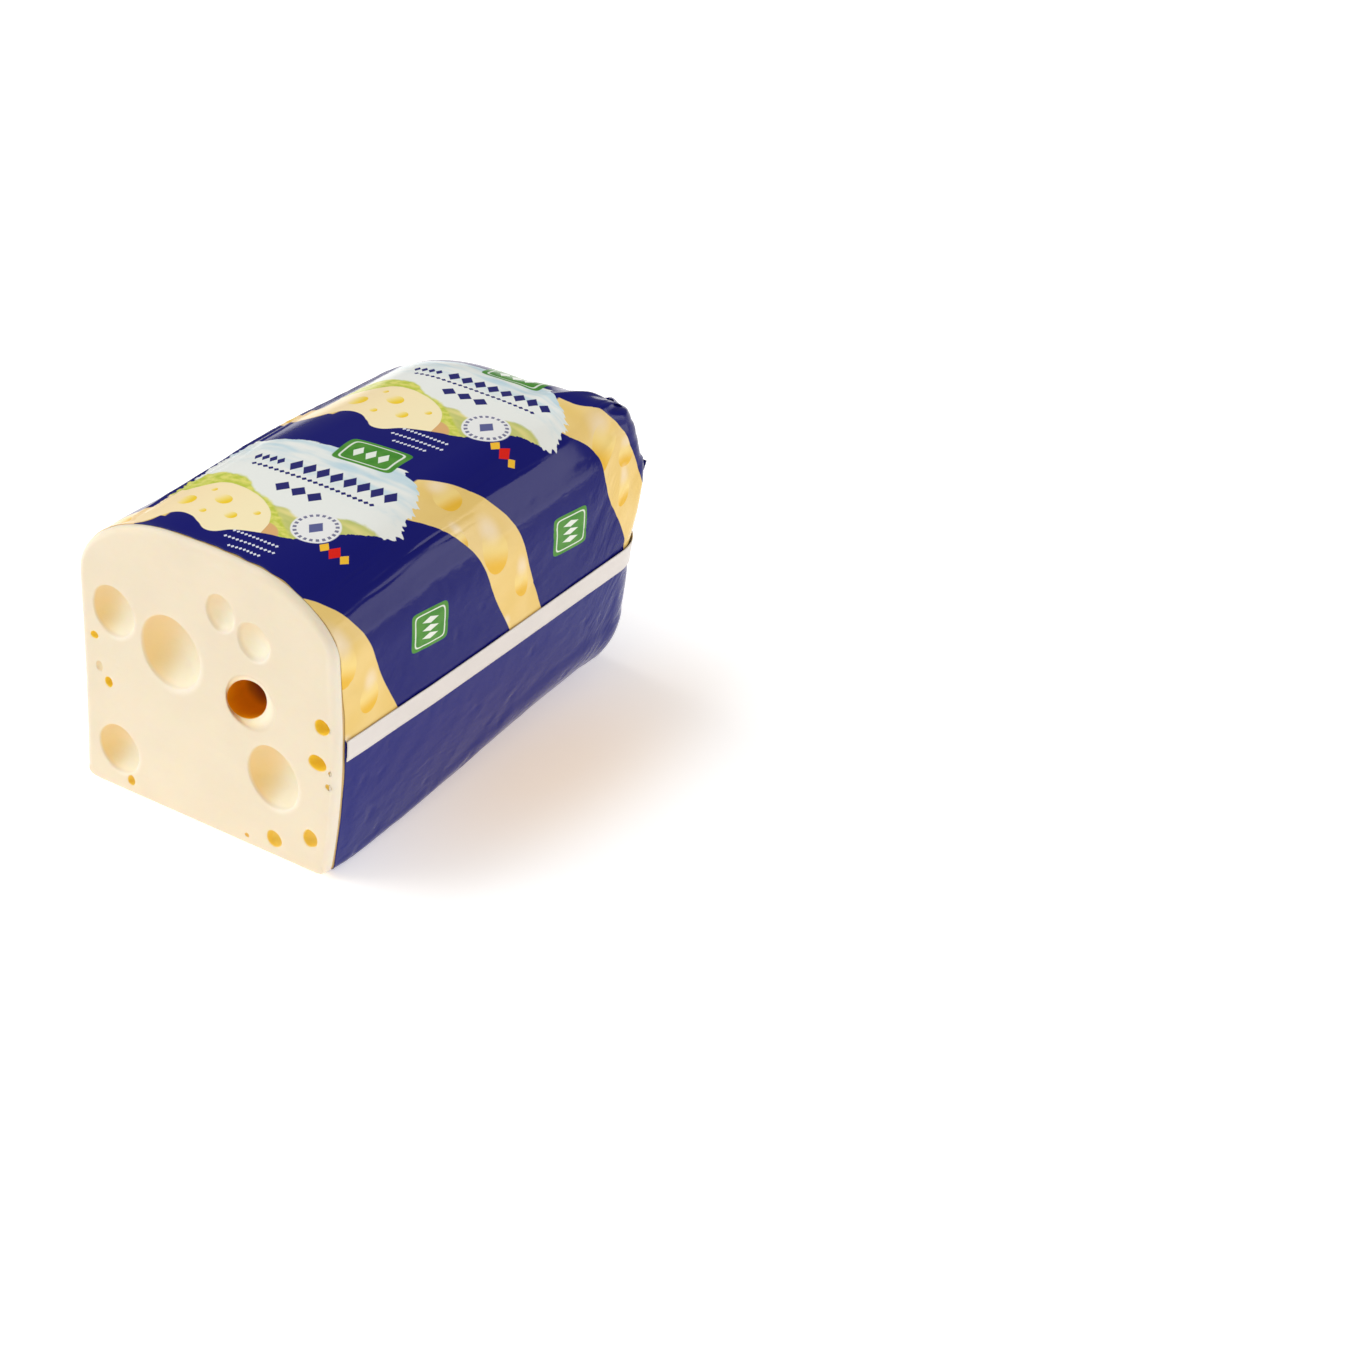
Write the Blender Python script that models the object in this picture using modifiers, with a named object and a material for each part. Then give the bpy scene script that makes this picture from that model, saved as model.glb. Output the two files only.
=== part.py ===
"""A block of Emmental, cut at one end and still in its printed film.

The block is a loaf with an arched top. Its cut face looks along -Y and its wrapped end along +Y.
The film stops just behind the cut face. It is closed by a lengthwise seam on the right wall (+X)
and by a pressed seal that is folded down over the far end. Lengths are in metres, and +Z is up.
"""

from math import asin, copysign, cos, pi, radians, sin, sqrt

import bmesh
import bpy
from mathutils import Matrix, Vector

# The block at its cut face. Widths are measured from the centre plane of the block.
RIGHT_WALL = 0.0566
LEFT_WALL = 0.0534
RIGHT_FOOT = 0.0474
LEFT_FOOT = 0.0570
HEIGHT = 0.1111
CROWN = 0.0005
WALL_BOW_HEIGHT = 0.066
CHEESE_LENGTH = 0.1645
EDGE_ROUND = 0.0022

# The same block at its wrapped end, where it is narrower and rounder.
REAR_RIGHT_WALL = 0.0560
REAR_LEFT_WALL = 0.0500
REAR_RIGHT_FOOT = 0.0450
REAR_LEFT_FOOT = 0.0490
REAR_HEIGHT = 0.1104

# Corner radii of the section: (across, upward) at the cut face and at the wrapped end.
TOP_RIGHT = ((0.0295, 0.0343), (0.0270, 0.0320))
TOP_LEFT = ((0.0310, 0.0360), (0.0470, 0.0460))
BOTTOM_RIGHT = ((0.0040, 0.0040), (0.0300, 0.0260))
BOTTOM_LEFT = ((0.0045, 0.0045), (0.0260, 0.0260))
TOP_RIGHT_FULLNESS = 2.15
# The cut end swells where the film no longer holds it.
SWELL_LENGTH = 0.006
SWELL_TOP = 0.0003
SWELL_LEFT = 0.0008

# Film, gaps and seals.
GAP = 0.0003
FILM = 0.0005
FILM_REACH = 0.1649
# How far the film's far end is rounded: along the top (left, right), the bottom and the side walls,
# slack or drawn tight by the end seal.
END_ROUND_TOP = (0.034, 0.016)
END_ROUND_BOTTOM = 0.018
END_ROUND_SLACK = (0.018, 0.015)
END_ROUND_DRAWN = (0.009, 0.004)
DRAWN_HEIGHT = 0.082
DRAWN_SPREAD = 0.032
CHEESE_EXTRA_ROUND = 0.006
# The seal also draws the upper right corner of the film out of the round.
DRAWN_CORNER = (0.018, 0.019)
DRAWN_CORNER_STRETCH = (0.136, 0.022)
STRIP_LOW = 0.0478
STRIP_HIGH = 0.0560
STRIP_THICK = 0.0006
STRIP_START = 0.0032
STRIP_TURN_IN = 0.012
SEAL_THICK = 0.0010
SEAL_LOW = 0.0700
SEAL_HIGH = 0.0830
SEAL_RIGHT = 0.0549
SEAL_LEFT = 0.0440
SEAL_TAPER = 0.0040

# Where along the block its shape changes from one end's to the other's: start and run.
NARROWING = (0.060, 0.100)
ROUNDING = (0.005, 0.140)
SETTLING = (0.002, 0.030)
SETTLED_SHARE = 0.44
# Where across the top the film's far end goes from the left rounding to the right one.
END_TOP_TURN = (-0.035, 0.085)
# Faces in each stretch of the section.
FLOOR_STEPS = 4
BOTTOM_STEPS = 5
RIGHT_STEPS = 7
TOP_STEPS = 8
CROWN_STEPS = 4
LEFT_STEPS = 4
STRIP_STEPS = 2
# Where the block's sections stand: behind the cut face, and short of the far end.
STATIONS = (0.0026, 0.006, 0.014, 0.032, 0.052, 0.072, 0.092, 0.110)
END_STATIONS = (0.042, 0.034, 0.027, 0.020, 0.014, 0.0095, 0.006, 0.0035, 0.0017, 0.0006, 0.0)

# The origin is under the middle of the whole pack, on the surface it lies on.
FLOOR_TO_CHEESE = GAP + FILM
SHIFT_X = -0.0004
SHIFT_Y = -(FILM_REACH + GAP + FILM + GAP + SEAL_THICK) / 2

# Eyes in the cut face: centre (x, z), opening radii (across, upward) and depth.
EYES = {
    "upper_left": (-0.0401, 0.0707, 0.0088, 0.0096, 0.0066),
    "largest": (-0.0157, 0.0640, 0.0125, 0.0138, 0.0096),
    "upper_middle": (0.0070, 0.0877, 0.0060, 0.0068, 0.0042),
    "upper_right": (0.0209, 0.0819, 0.0066, 0.0072, 0.0034),
    "tunnel_mouth": (0.0179, 0.0563, 0.0106, 0.0101, 0.0026),
    "tunnel": (0.0169, 0.0581, 0.0080, 0.0070, 0.0210),
    "lower_left": (-0.0409, 0.0158, 0.0088, 0.0093, 0.0070),
    "lower_right": (0.0267, 0.0314, 0.0106, 0.0118, 0.0082),
    "right_edge_high": (0.0496, 0.0597, 0.0032, 0.0029, 0.0044),
    "right_edge_low": (0.0462, 0.0449, 0.0034, 0.0029, 0.0046),
    "bottom_middle": (0.0261, 0.0069, 0.0031, 0.0028, 0.0030),
    "bottom_right": (0.0418, 0.0134, 0.0027, 0.0033, 0.0032),
    "left_edge_high": (-0.0479, 0.0582, 0.0016, 0.0013, 0.0018),
    "left_edge_low": (-0.0434, 0.0415, 0.0015, 0.0019, 0.0026),
    "notch": (-0.0369, 0.0059, 0.0016, 0.0021, 0.0022),
}
# Wider eyes than this get the finer mesh: segments, levels.
WIDE_EYE = 0.005
WIDE_EYE_MESH = (22, 12)
SMALL_EYE_MESH = (12, 7)

CHEESE_COLOUR = (0.90, 0.78, 0.55)
FILM_COLOUR = (0.025, 0.025, 0.15)
SEAM_COLOUR = (0.80, 0.77, 0.72)
SEAL_COLOUR = (0.03, 0.03, 0.17)


def mix(a, b, share):
    return a + (b - a) * share


def ease(value):
    """0 to 1 with level ends."""
    share = min(1.0, max(0.0, value))
    return share * share * (3 - 2 * share)


def eased_along(y, stretch):
    """How far the block has changed at y, over a stretch given as start and run."""
    start, run = stretch
    return ease((y - start) / run)


def corner(centre_x, centre_z, radii, start_degrees, steps, fullness=2.0):
    """A quarter of a (super)ellipse, counter-clockwise as seen from the cut face."""
    across, upward = radii
    points = []
    for step in range(steps + 1):
        turn = radians(start_degrees + 90 * step / steps)
        c, s = cos(turn), sin(turn)
        x = centre_x + across * copysign(abs(c) ** (2 / fullness), c)
        z = centre_z + upward * copysign(abs(s) ** (2 / fullness), s)
        points.append((x, z))
    return points


def section(y, drawn=0.0):
    """The block's outline (x, z) at the distance y behind the cut face, from under its middle."""
    narrowing = eased_along(y, NARROWING)
    rounding = eased_along(y, ROUNDING)
    settling = mix(narrowing, eased_along(y, SETTLING), SETTLED_SHARE)
    held = ease(y / SWELL_LENGTH)
    right = mix(RIGHT_WALL, REAR_RIGHT_WALL, narrowing)
    left = -mix(LEFT_WALL, REAR_LEFT_WALL, narrowing) + SWELL_LEFT * held
    top = mix(HEIGHT, REAR_HEIGHT, narrowing) - SWELL_TOP * held
    right_foot = mix(RIGHT_FOOT, REAR_RIGHT_FOOT, rounding)
    left_foot = -mix(LEFT_FOOT, REAR_LEFT_FOOT, rounding)

    def radii(pair, share):
        return tuple(mix(front, rear, share) for front, rear in zip(*pair))

    def bowed(wall, foot, z):
        return wall - (wall - foot) * max(0.0, 1 - z / WALL_BOW_HEIGHT) ** 2

    top_right = radii((radii(TOP_RIGHT, narrowing), DRAWN_CORNER), drawn)
    top_left = radii(TOP_LEFT, settling)
    bottom_right = radii(BOTTOM_RIGHT, rounding)
    bottom_left = radii(BOTTOM_LEFT, rounding)

    low = bowed(right, right_foot, bottom_right[1]) - bottom_right[0]
    points = [(low * step / FLOOR_STEPS, 0.0) for step in range(FLOOR_STEPS)]
    points += corner(low, bottom_right[1], bottom_right, -90, BOTTOM_STEPS)
    high = top - top_right[1]
    rises = [mix(bottom_right[1], high, step / RIGHT_STEPS) for step in range(1, RIGHT_STEPS)]
    points += [(bowed(right, right_foot, z), z) for z in rises]
    points += corner(right - top_right[0], high, top_right, 0, TOP_STEPS, TOP_RIGHT_FULLNESS)
    start, end = right - top_right[0], left + top_left[0]
    shares = [step / CROWN_STEPS for step in range(1, CROWN_STEPS)]
    points += [(mix(start, end, share), top + CROWN * sin(pi * share)) for share in shares]
    high = top - top_left[1]
    points += corner(end, high, top_left, 90, TOP_STEPS)
    falls = [mix(high, bottom_left[1], step / LEFT_STEPS) for step in range(1, LEFT_STEPS)]
    points += [(bowed(left, left_foot, z), z) for z in falls]
    low = bowed(left, left_foot, bottom_left[1]) + bottom_left[0]
    points += corner(low, bottom_left[1], bottom_left, 180, BOTTOM_STEPS)
    return points + [(low * (1 - step / FLOOR_STEPS), 0.0) for step in range(1, FLOOR_STEPS)]


def outward(points):
    """The outline's unit normals."""
    normals = []
    for index in range(len(points)):
        before, after = points[index - 1], points[(index + 1) % len(points)]
        along = Vector((after[0] - before[0], after[1] - before[1])).normalized()
        normals.append((along.y, -along.x))
    return normals


def placed(x, y, z):
    """A point of the block in the part's own frame."""
    return (x + SHIFT_X, y + SHIFT_Y, z + FLOOR_TO_CHEESE)


def end_radius(x, z, normal):
    """How far the film's far end is rounded at a point of its outline."""
    if normal[1] > 0:
        level = mix(*END_ROUND_TOP, eased_along(x, END_TOP_TURN))
    else:
        level = END_ROUND_BOTTOM
    side = 1 if x > 0 else 0
    below = DRAWN_HEIGHT - z
    slack = ease((below if side else abs(below)) / DRAWN_SPREAD)
    upright = mix(END_ROUND_DRAWN[side], END_ROUND_SLACK[side], slack)
    return level * normal[1] ** 2 + upright * normal[0] ** 2


def rounded(y, length, radius, distance):
    """How far a skin stands out from the outline, and back, where the far end rounds off."""
    turn = asin(min(1.0, max(0.0, 1 - (length - y) / radius)))
    return distance * cos(turn) - radius * (1 - cos(turn)), y + distance * sin(turn)


def ring(y, distance, length, extra_round=0.0, drawn=0.0):
    """The block's outline at y, moved outwards by a distance and rounded off towards the far end."""
    outline = section(y, drawn)
    points = []
    for (x, z), normal in zip(outline, outward(outline)):
        out, back = rounded(y, length, end_radius(x, z, normal) + extra_round, distance)
        points.append(placed(x + normal[0] * out, back, z + normal[1] * out))
    return points


def all_stations(length):
    return STATIONS + tuple(length - short for short in END_STATIONS)


def new_object(name, mesh_data, home, material=None):
    mesh = bpy.data.meshes.new(name)
    mesh_data.to_mesh(mesh)
    mesh_data.free()
    made = bpy.data.objects.new(name, mesh)
    home.objects.link(made)
    if material:
        mesh.materials.append(material)
    return made


def loft(rings, cap_start, cap_end):
    """A skin through rings of like count, with a flat cap at either end where it is asked for."""
    made = bmesh.new()
    rows = [[made.verts.new(point) for point in ring] for ring in rings]
    for row, after in zip(rows, rows[1:]):
        for index in range(len(row)):
            following = (index + 1) % len(row)
            made.faces.new((row[index], row[following], after[following], after[index]))
    if cap_start:
        made.faces.new(list(reversed(rows[0])))
    if cap_end:
        made.faces.new(rows[-1])
    bmesh.ops.recalc_face_normals(made, faces=made.faces)
    return made


def band(rows):
    """An open skin through rows of points."""
    made = bmesh.new()
    rows = [[made.verts.new(point) for point in row] for row in rows]
    for row, after in zip(rows, rows[1:]):
        for index in range(len(row) - 1):
            made.faces.new((row[index], row[index + 1], after[index + 1], after[index]))
    return made


def finish(name, colour, roughness, subsurface=0.0):
    """A Principled material in the piece's own colour."""
    material = bpy.data.materials.new(name)
    material.use_nodes = True
    shader = material.node_tree.nodes["Principled BSDF"]
    shader.inputs["Base Color"].default_value = (*colour, 1.0)
    shader.inputs["Roughness"].default_value = roughness
    shader.inputs["Metallic"].default_value = 0.0
    shader.inputs["Subsurface Weight"].default_value = subsurface
    return material


def thicken(piece, thickness):
    """Solidify outwards from the open skin."""
    shell = piece.modifiers.new("Thickness", "SOLIDIFY")
    shell.thickness = thickness
    shell.offset = 1.0
    shell.use_even_offset = True


def eye_cutter(name, size, home):
    """A bubble whose cap opens on the cut face with the given radii and depth."""
    x, z, across, upward, depth = size
    opening = sqrt(across * upward)
    reach = (opening**2 + depth**2) / (2 * depth)
    wide = across > WIDE_EYE
    made = bmesh.new()
    segments, levels = WIDE_EYE_MESH if wide else SMALL_EYE_MESH
    bmesh.ops.create_uvsphere(made, u_segments=segments, v_segments=levels, radius=1.0)
    bmesh.ops.rotate(made, matrix=Matrix.Rotation(radians(90), 3, "X"), verts=made.verts)
    size = (across * reach / opening, reach, upward * reach / opening)
    bmesh.ops.scale(made, vec=size, verts=made.verts)
    cutter = new_object("eye_" + name, made, home)
    cutter.location = placed(x, depth - reach, z)
    cutter.hide_render = True
    cutter.display_type = "WIRE"


def make_cheese(home, cutters):
    """The block itself, with its eyes cut into the front."""
    front = []
    for turn in (0, pi / 4):
        back, inset = EDGE_ROUND * (1 - cos(turn)), EDGE_ROUND * (1 - sin(turn))
        front.append(ring(back, -inset, CHEESE_LENGTH))
    rest = [ring(y, 0.0, CHEESE_LENGTH, CHEESE_EXTRA_ROUND) for y in all_stations(CHEESE_LENGTH)]
    skin = loft(front + rest, cap_start=True, cap_end=True)
    cheese = new_object("cheese", skin, home, finish("cheese", CHEESE_COLOUR, 0.55, 0.1))
    for name, size in EYES.items():
        eye_cutter(name, size, cutters)
    cut = cheese.modifiers.new("Eyes", "BOOLEAN")
    cut.operation = "DIFFERENCE"
    cut.operand_type = "COLLECTION"
    cut.collection = cutters


def make_film(home):
    """The printed film: a thin shell, open at the cut face and closed round the far end."""
    rings = [ring(y, GAP, FILM_REACH, drawn=eased_along(y, DRAWN_CORNER_STRETCH))
             for y in all_stations(FILM_REACH)]
    skin = loft(rings, cap_start=False, cap_end=True)
    film = new_object("film_wrap", skin, home, finish("printed film", FILM_COLOUR, 0.3))
    film.data.shade_smooth()
    thicken(film, FILM)


def wall_x(y, z, distance):
    """How far out the right wall stands at a height, with the given distance added."""
    outline = section(y)
    pairs = zip(outline, outline[1:])
    low, high = next((a, b) for a, b in pairs if a[0] > 0 and a[1] <= z < b[1])
    return mix(low[0], high[0], (z - low[1]) / (high[1] - low[1])) + distance


def make_seam_strip(home):
    """The pale lengthwise seam, which lies flat on the right wall and turns in behind the end."""
    lift = GAP + FILM + GAP
    heights = [mix(STRIP_LOW, STRIP_HIGH, step / STRIP_STEPS) for step in range(STRIP_STEPS + 1)]
    rows = []
    for y in (STRIP_START,) + all_stations(FILM_REACH)[1:]:
        row = []
        for z in heights:
            out, back = rounded(y, FILM_REACH, end_radius(RIGHT_WALL, z, (1, 0)), lift)
            row.append(placed(wall_x(y, z, out), back, z))
        rows.append(row)
    rows.append([(x - STRIP_TURN_IN, y, z) for x, y, z in rows[-1]])
    made = band(rows)
    bmesh.ops.recalc_face_normals(made, faces=made.faces)
    if sum(face.normal.x for face in made.faces) < 0:
        bmesh.ops.reverse_faces(made, faces=made.faces)
    strip = new_object("seam_strip", made, home, finish("seam", SEAM_COLOUR, 0.4))
    thicken(strip, STRIP_THICK)


def make_end_seal(home):
    """The pressed seal that closes the film, folded down flat over the far end."""
    made = bmesh.new()
    bmesh.ops.create_cube(made, size=1.0)
    size = (SEAL_RIGHT + SEAL_LEFT, SEAL_THICK, SEAL_HIGH - SEAL_LOW)
    bmesh.ops.scale(made, vec=size, verts=made.verts)
    for vert in made.verts:
        if vert.co.z < 0:
            vert.co.x -= copysign(SEAL_TAPER, vert.co.x)
    seal = new_object("end_seal", made, home, finish("pressed film", SEAL_COLOUR, 0.35))
    back = FILM_REACH + GAP + FILM + GAP + SEAL_THICK / 2
    seal.location = placed((SEAL_RIGHT - SEAL_LEFT) / 2, back, (SEAL_LOW + SEAL_HIGH) / 2)


def collection(name):
    made = bpy.data.collections.new(name)
    bpy.context.scene.collection.children.link(made)
    return made


def main():
    for left_over in list(bpy.data.objects):
        bpy.data.objects.remove(left_over)
    block = collection("emmental_block")
    cutters = collection("cutters")
    cutters.hide_render = True
    make_cheese(block, cutters)
    make_film(block)
    make_seam_strip(block)
    make_end_seal(block)


main()
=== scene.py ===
"""A block of Emmental, cut at one end and still in its printed film: fine shapes, finishes and stage.

Laid out as an add-on and run as a script. Block lengths are in metres: x from the block's centre plane,
y back from the cut face and z up from the cheese's flat side. placed() brings them into the part's frame.
"""

import random
from math import asin, cos, pi, radians, sin

import bmesh
import bpy
import numpy as np
from bpy.props import FloatProperty, FloatVectorProperty, PointerProperty
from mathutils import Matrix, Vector, noise


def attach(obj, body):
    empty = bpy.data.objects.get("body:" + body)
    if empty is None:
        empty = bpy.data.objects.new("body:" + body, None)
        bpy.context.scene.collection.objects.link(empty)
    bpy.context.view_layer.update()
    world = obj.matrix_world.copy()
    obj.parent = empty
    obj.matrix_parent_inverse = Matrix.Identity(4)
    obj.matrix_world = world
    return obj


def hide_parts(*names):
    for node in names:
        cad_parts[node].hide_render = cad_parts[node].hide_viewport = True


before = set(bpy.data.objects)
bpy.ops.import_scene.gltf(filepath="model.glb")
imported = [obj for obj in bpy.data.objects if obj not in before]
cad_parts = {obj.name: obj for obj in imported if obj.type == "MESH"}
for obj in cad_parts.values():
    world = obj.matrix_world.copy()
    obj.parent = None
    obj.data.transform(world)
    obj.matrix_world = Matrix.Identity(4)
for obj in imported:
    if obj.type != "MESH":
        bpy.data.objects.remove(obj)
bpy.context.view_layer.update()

bl_info = {
    "name": "Emmental block",
    "version": (1, 0, 0),
    "blender": (4, 5, 0),
    "location": "View3D > Sidebar > Cheese",
    "description": "Builds a cut block of Emmental in its printed film",
    "category": "Object",
}

# The block at its cut face and at its wrapped end, as in the solids.
RIGHT_WALL, REAR_RIGHT_WALL = 0.0566, 0.0560
LEFT_WALL, REAR_LEFT_WALL = 0.0534, 0.0500
RIGHT_FOOT, REAR_RIGHT_FOOT = 0.0474, 0.0450
LEFT_FOOT, REAR_LEFT_FOOT = 0.0570, 0.0490
HEIGHT, REAR_HEIGHT = 0.1111, 0.1104
CROWN = 0.0005
WALL_BOW_HEIGHT = 0.066
CHEESE_LENGTH = 0.1645
EDGE_ROUND = 0.0028
TOP_RIGHT = ((0.0295, 0.0343), (0.0270, 0.0320))
TOP_LEFT = ((0.0310, 0.0360), (0.0470, 0.0460))
BOTTOM_RIGHT = ((0.0040, 0.0040), (0.0300, 0.0260))
BOTTOM_LEFT = ((0.0045, 0.0045), (0.0260, 0.0260))
# Fullness of a corner: an ellipse, and the fuller right shoulder.
ROUND, TOP_RIGHT_FULLNESS = 2.0, 2.15
SWELL_LENGTH, SWELL_TOP, SWELL_LEFT = 0.006, 0.0003, 0.0008
NARROWING = (0.060, 0.100)
ROUNDING = (0.005, 0.140)
SETTLING = (0.002, 0.030)
SETTLED_SHARE = 0.44
# The scene's own finer shape near the cut face and over the rear left shoulder.
FRONT_LENGTH = 0.048
FRONT_LOWER = 0.0013
FRONT_RIGHT_IN = 0.0015
FRONT_LEFT_OUT = 0.0019
FRONT_TOP_RIGHT = (0.0356, 0.0235)
FRONT_TOP_LEFT = (0.0446, 0.0290)
FRONT_FULLNESS = 1.8
FULLER_REAR_LEFT = (0.0500, 0.0400)
# Rounding of the film's far end: across the block (first row), the top edge's radius (second row).
END_ROUND_TOP = ((-0.045, -0.016, -0.004, 0.003, 0.014, 0.027, 0.039, 0.052),
                 (0.030, 0.0285, 0.0272, 0.0265, 0.0268, 0.0222, 0.0175, 0.0170))
END_ROUND_BOTTOM = 0.018
# Rounding of the end's upright edges, where the film is drawn tight and where it is slack.
END_ROUND_LEFT, END_ROUND_RIGHT = (0.009, 0.018), (0.004, 0.015)
END_BLEND = 0.8
END_TOP_STRETCH = (0.1015, 0.0075)
DRAWN_HEIGHT, DRAWN_SPREAD = 0.082, 0.032
DRAWN_CORNER = (0.0058, 0.0240)
DRAWN_FULLNESS = 1.35
DRAWN_CORNER_STRETCH = (0.128, 0.022)
FILM_REACH = 0.1649
GAP, FILM = 0.0003, 0.0005
FLOOR_TO_CHEESE = GAP + FILM
SHIFT_X, SHIFT_Y = -0.0004, -0.0835

# Faces in each stretch of the finely drawn outline.
FLOOR_STEPS, BOTTOM_STEPS, RIGHT_STEPS = 24, 20, 60
TOP_STEPS, CROWN_STEPS, LEFT_STEPS = 60, 36, 36
NORMAL_REACH = 0.0007

# Eyes in the cut face: centre (x, z), opening radii (across, upward), depth, strength of the painted shade
# inside.
EYES = {
    "upper_left": (-0.0401, 0.0707, 0.0088, 0.0096, 0.0066, 0.34),
    "largest": (-0.0157, 0.0640, 0.0125, 0.0138, 0.0096, 0.34),
    "upper_middle": (0.0070, 0.0877, 0.0060, 0.0068, 0.0042, 0.18),
    "upper_right": (0.0209, 0.0819, 0.0066, 0.0072, 0.0034, 0.16),
    "lower_left": (-0.0411, 0.0160, 0.0086, 0.0091, 0.0070, 0.34),
    "lower_right": (0.0267, 0.0314, 0.0106, 0.0118, 0.0082, 0.36),
    "right_edge_high": (0.0488, 0.0597, 0.0029, 0.0028, 0.0044, 0.80),
    "right_edge_low": (0.0462, 0.0449, 0.0034, 0.0029, 0.0046, 0.80),
    "bottom_middle": (0.0261, 0.0069, 0.0031, 0.0028, 0.0030, 0.68),
    "bottom_right": (0.0418, 0.0134, 0.0027, 0.0033, 0.0032, 0.68),
    "left_edge_high": (-0.0492, 0.0582, 0.0016, 0.0013, 0.0018, 0.80),
    "left_edge_low": (-0.0440, 0.0415, 0.0015, 0.0019, 0.0026, 0.80),
    "left_dimple": (-0.0478, 0.0464, 0.0013, 0.0019, 0.0008, 0.20),
    "notch": (-0.0364, 0.0051, 0.0015, 0.0018, 0.0022, 0.68),
    "pit_right_high": (0.0514, 0.0428, 0.0006, 0.0008, 0.0008, 0.65),
    "pit_right_low": (0.0505, 0.0371, 0.0012, 0.0010, 0.0010, 0.65),
    "pit_bottom_left": (0.0142, 0.0036, 0.0009, 0.0008, 0.0008, 0.60),
}
EYE_RIM = 0.0006
FOOT_ROUND = 0.25
WIDE_EYE = 0.005
# Segments, rings, wandering of the outline, and the depth at which the painted shade is full.
WIDE_MAKING = (72, 16, 0.018, 0.0011)
SMALL_MAKING = (28, 8, 0.055, 0.0003)
# The eye that opens into another one behind it: a shallow mouth, then a hole.
MOUTH = (0.0182, 0.0572, 0.0111, 0.0100)
HOLE = (0.0149, 0.0563, 0.0097, 0.0067)
HOLE_SLANT = 40
# Painted shade: an extra share on the shaded side of the mouth, and the share at the bottom of the hole.
MOUTH_SHADE = 0.16
HOLE_DEPTH = 0.0210
HOLE_SHADE = 1.9
HOLE_WANDERING = 0.014
# Rings of the deep eye: share of the way from mouth to hole, size, depth and painted shade.
DEEP_RINGS = (
    (0.0, 1.06, 0.0, 0.0), (0.0, 1.025, 0.00008, 0.0), (0.0, 1.0, 0.00030, 0.01), (0.12, 1.0, 0.00062, 0.03),
    (0.30, 1.0, 0.00105, 0.05), (0.52, 1.0, 0.00150, 0.07), (0.74, 1.0, 0.00190, 0.07),
    (0.90, 1.0, 0.00218, 0.07), (0.975, 1.0, 0.0024, 0.07), (1.0, 1.0, 0.0026, 1.02),
    (1.0, 1.03, 0.0042, 1.1), (1.0, 1.08, 0.0062, 1.1), (1.0, 1.12, 0.0088, 1.12), (1.0, 1.12, 0.0118, 1.2),
    (1.0, 1.05, 0.0140, 1.5), (1.0, 0.86, 0.0168, 1.8), (1.0, 0.55, 0.0198, 1.9), (1.0, 0.22, 0.0208, 1.9),
)

# Film: how far it stands off the block, and how the cheese below makes room for its creases.
FILM_START = 0.0030
FILM_SET_BACK, CROWN_SET_BACK, EDGE_WANDER = 0.0010, 0.0007, 0.0004
FILM_EDGE_OUT = 0.00045
FILM_OUT = GAP + FILM
FILM_THICK = 0.00022
CHEESE_ROOM, REAR_ROOM = 0.0019, 0.0030
# The end seal and the lengthwise seam.
SEAL_LOW, SEAL_HIGH = 0.0700, 0.0830
SEAL_RIGHT, SEAL_LEFT = 0.0549, 0.0440
SEAL_TAPER = 0.0040
SEAL_THICK, STRIP_THICK = 0.00025, 0.0003
STRIP_LOW, STRIP_HIGH = 0.0478, 0.0560
STRIP_START = 0.0042
SEAM_MIDDLE = 0.0510
END_START = 0.0800
STRIP_TURN_IN = 0.012
STRIP_START_LIFT, STRIP_LIFT = 0.0007, 0.0009
STRIP_SINKING, STRIP_SINKING_LENGTH = 0.0009, 0.040
STRIP_STEP, STRIP_STEP_RISE, STRIP_STEP_HEIGHT = 0.0490, 0.0022, 0.00020
SEAL_TEETH, SEAL_CRIMP, SEAL_WAVE = 0.0006, 0.00016, 0.00012
SEAL_OFF, SEAL_SLIT, SLIT_UNDER_TOP, SLIT_INSET = 0.0004, 0.0007, 0.0020, 0.003

# Dark screens, where the film's top and its right shoulder mirror them towards the camera: direction, the
# cosines between which they fade in, and their brightness as a multiple of the look's.
SCREENS = (
    ((-0.54, 0.636, 0.547), (0.27, 0.44), 1.0),
    ((0.49, 0.64, 0.60), (0.945, 0.975), 1.4),
)
# The lights' places and sizes, and the part of the floor where a shadow is painted.
KEY_LIGHT = ((-1.25, -0.4, 1.7), 1.8)
REAR_LIGHT = ((1.5, 1.28, 0.36), 0.9)
SHADE_CENTRE, SHADE_HALF = (0.064, 0.012), (0.058, 0.108)
FLOOR_HALF = 6.0
# The camera stands where the photograph was taken from.
CAMERA_PLACE = (1.11225, -1.3129, 1.1277)
CAMERA_TURN = (57.09, 0.0, 36.76)
CAMERA_LENS = 158.36
CAMERA_SENSOR = 36.0


def mix(a, b, share):
    """From a at 0 to b at 1, for numbers, arrays or tuples."""
    return np.subtract(b, a) * share + a


def ease(value):
    """0 to 1 with level ends, for a number or an array."""
    share = np.clip(value, 0.0, 1.0)
    return share * share * (3 - 2 * share)


def rise(value, start, run):
    """0 up to the start and 1 a run later, with level ends."""
    return ease((value - start) / run)


def bump_at(value, centre, width):
    """A soft bump of height 1 round a centre."""
    return np.exp(-(((value - centre) / width) ** 2))


def srgb(red, green, blue):
    """A colour as it is read off a screen, 0 to 255, in the linear values that Blender takes."""
    def linear(value):
        value /= 255
        return value / 12.92 if value <= 0.04045 else ((value + 0.055) / 1.055) ** 2.4
    return tuple(linear(value) for value in (red, green, blue))


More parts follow.
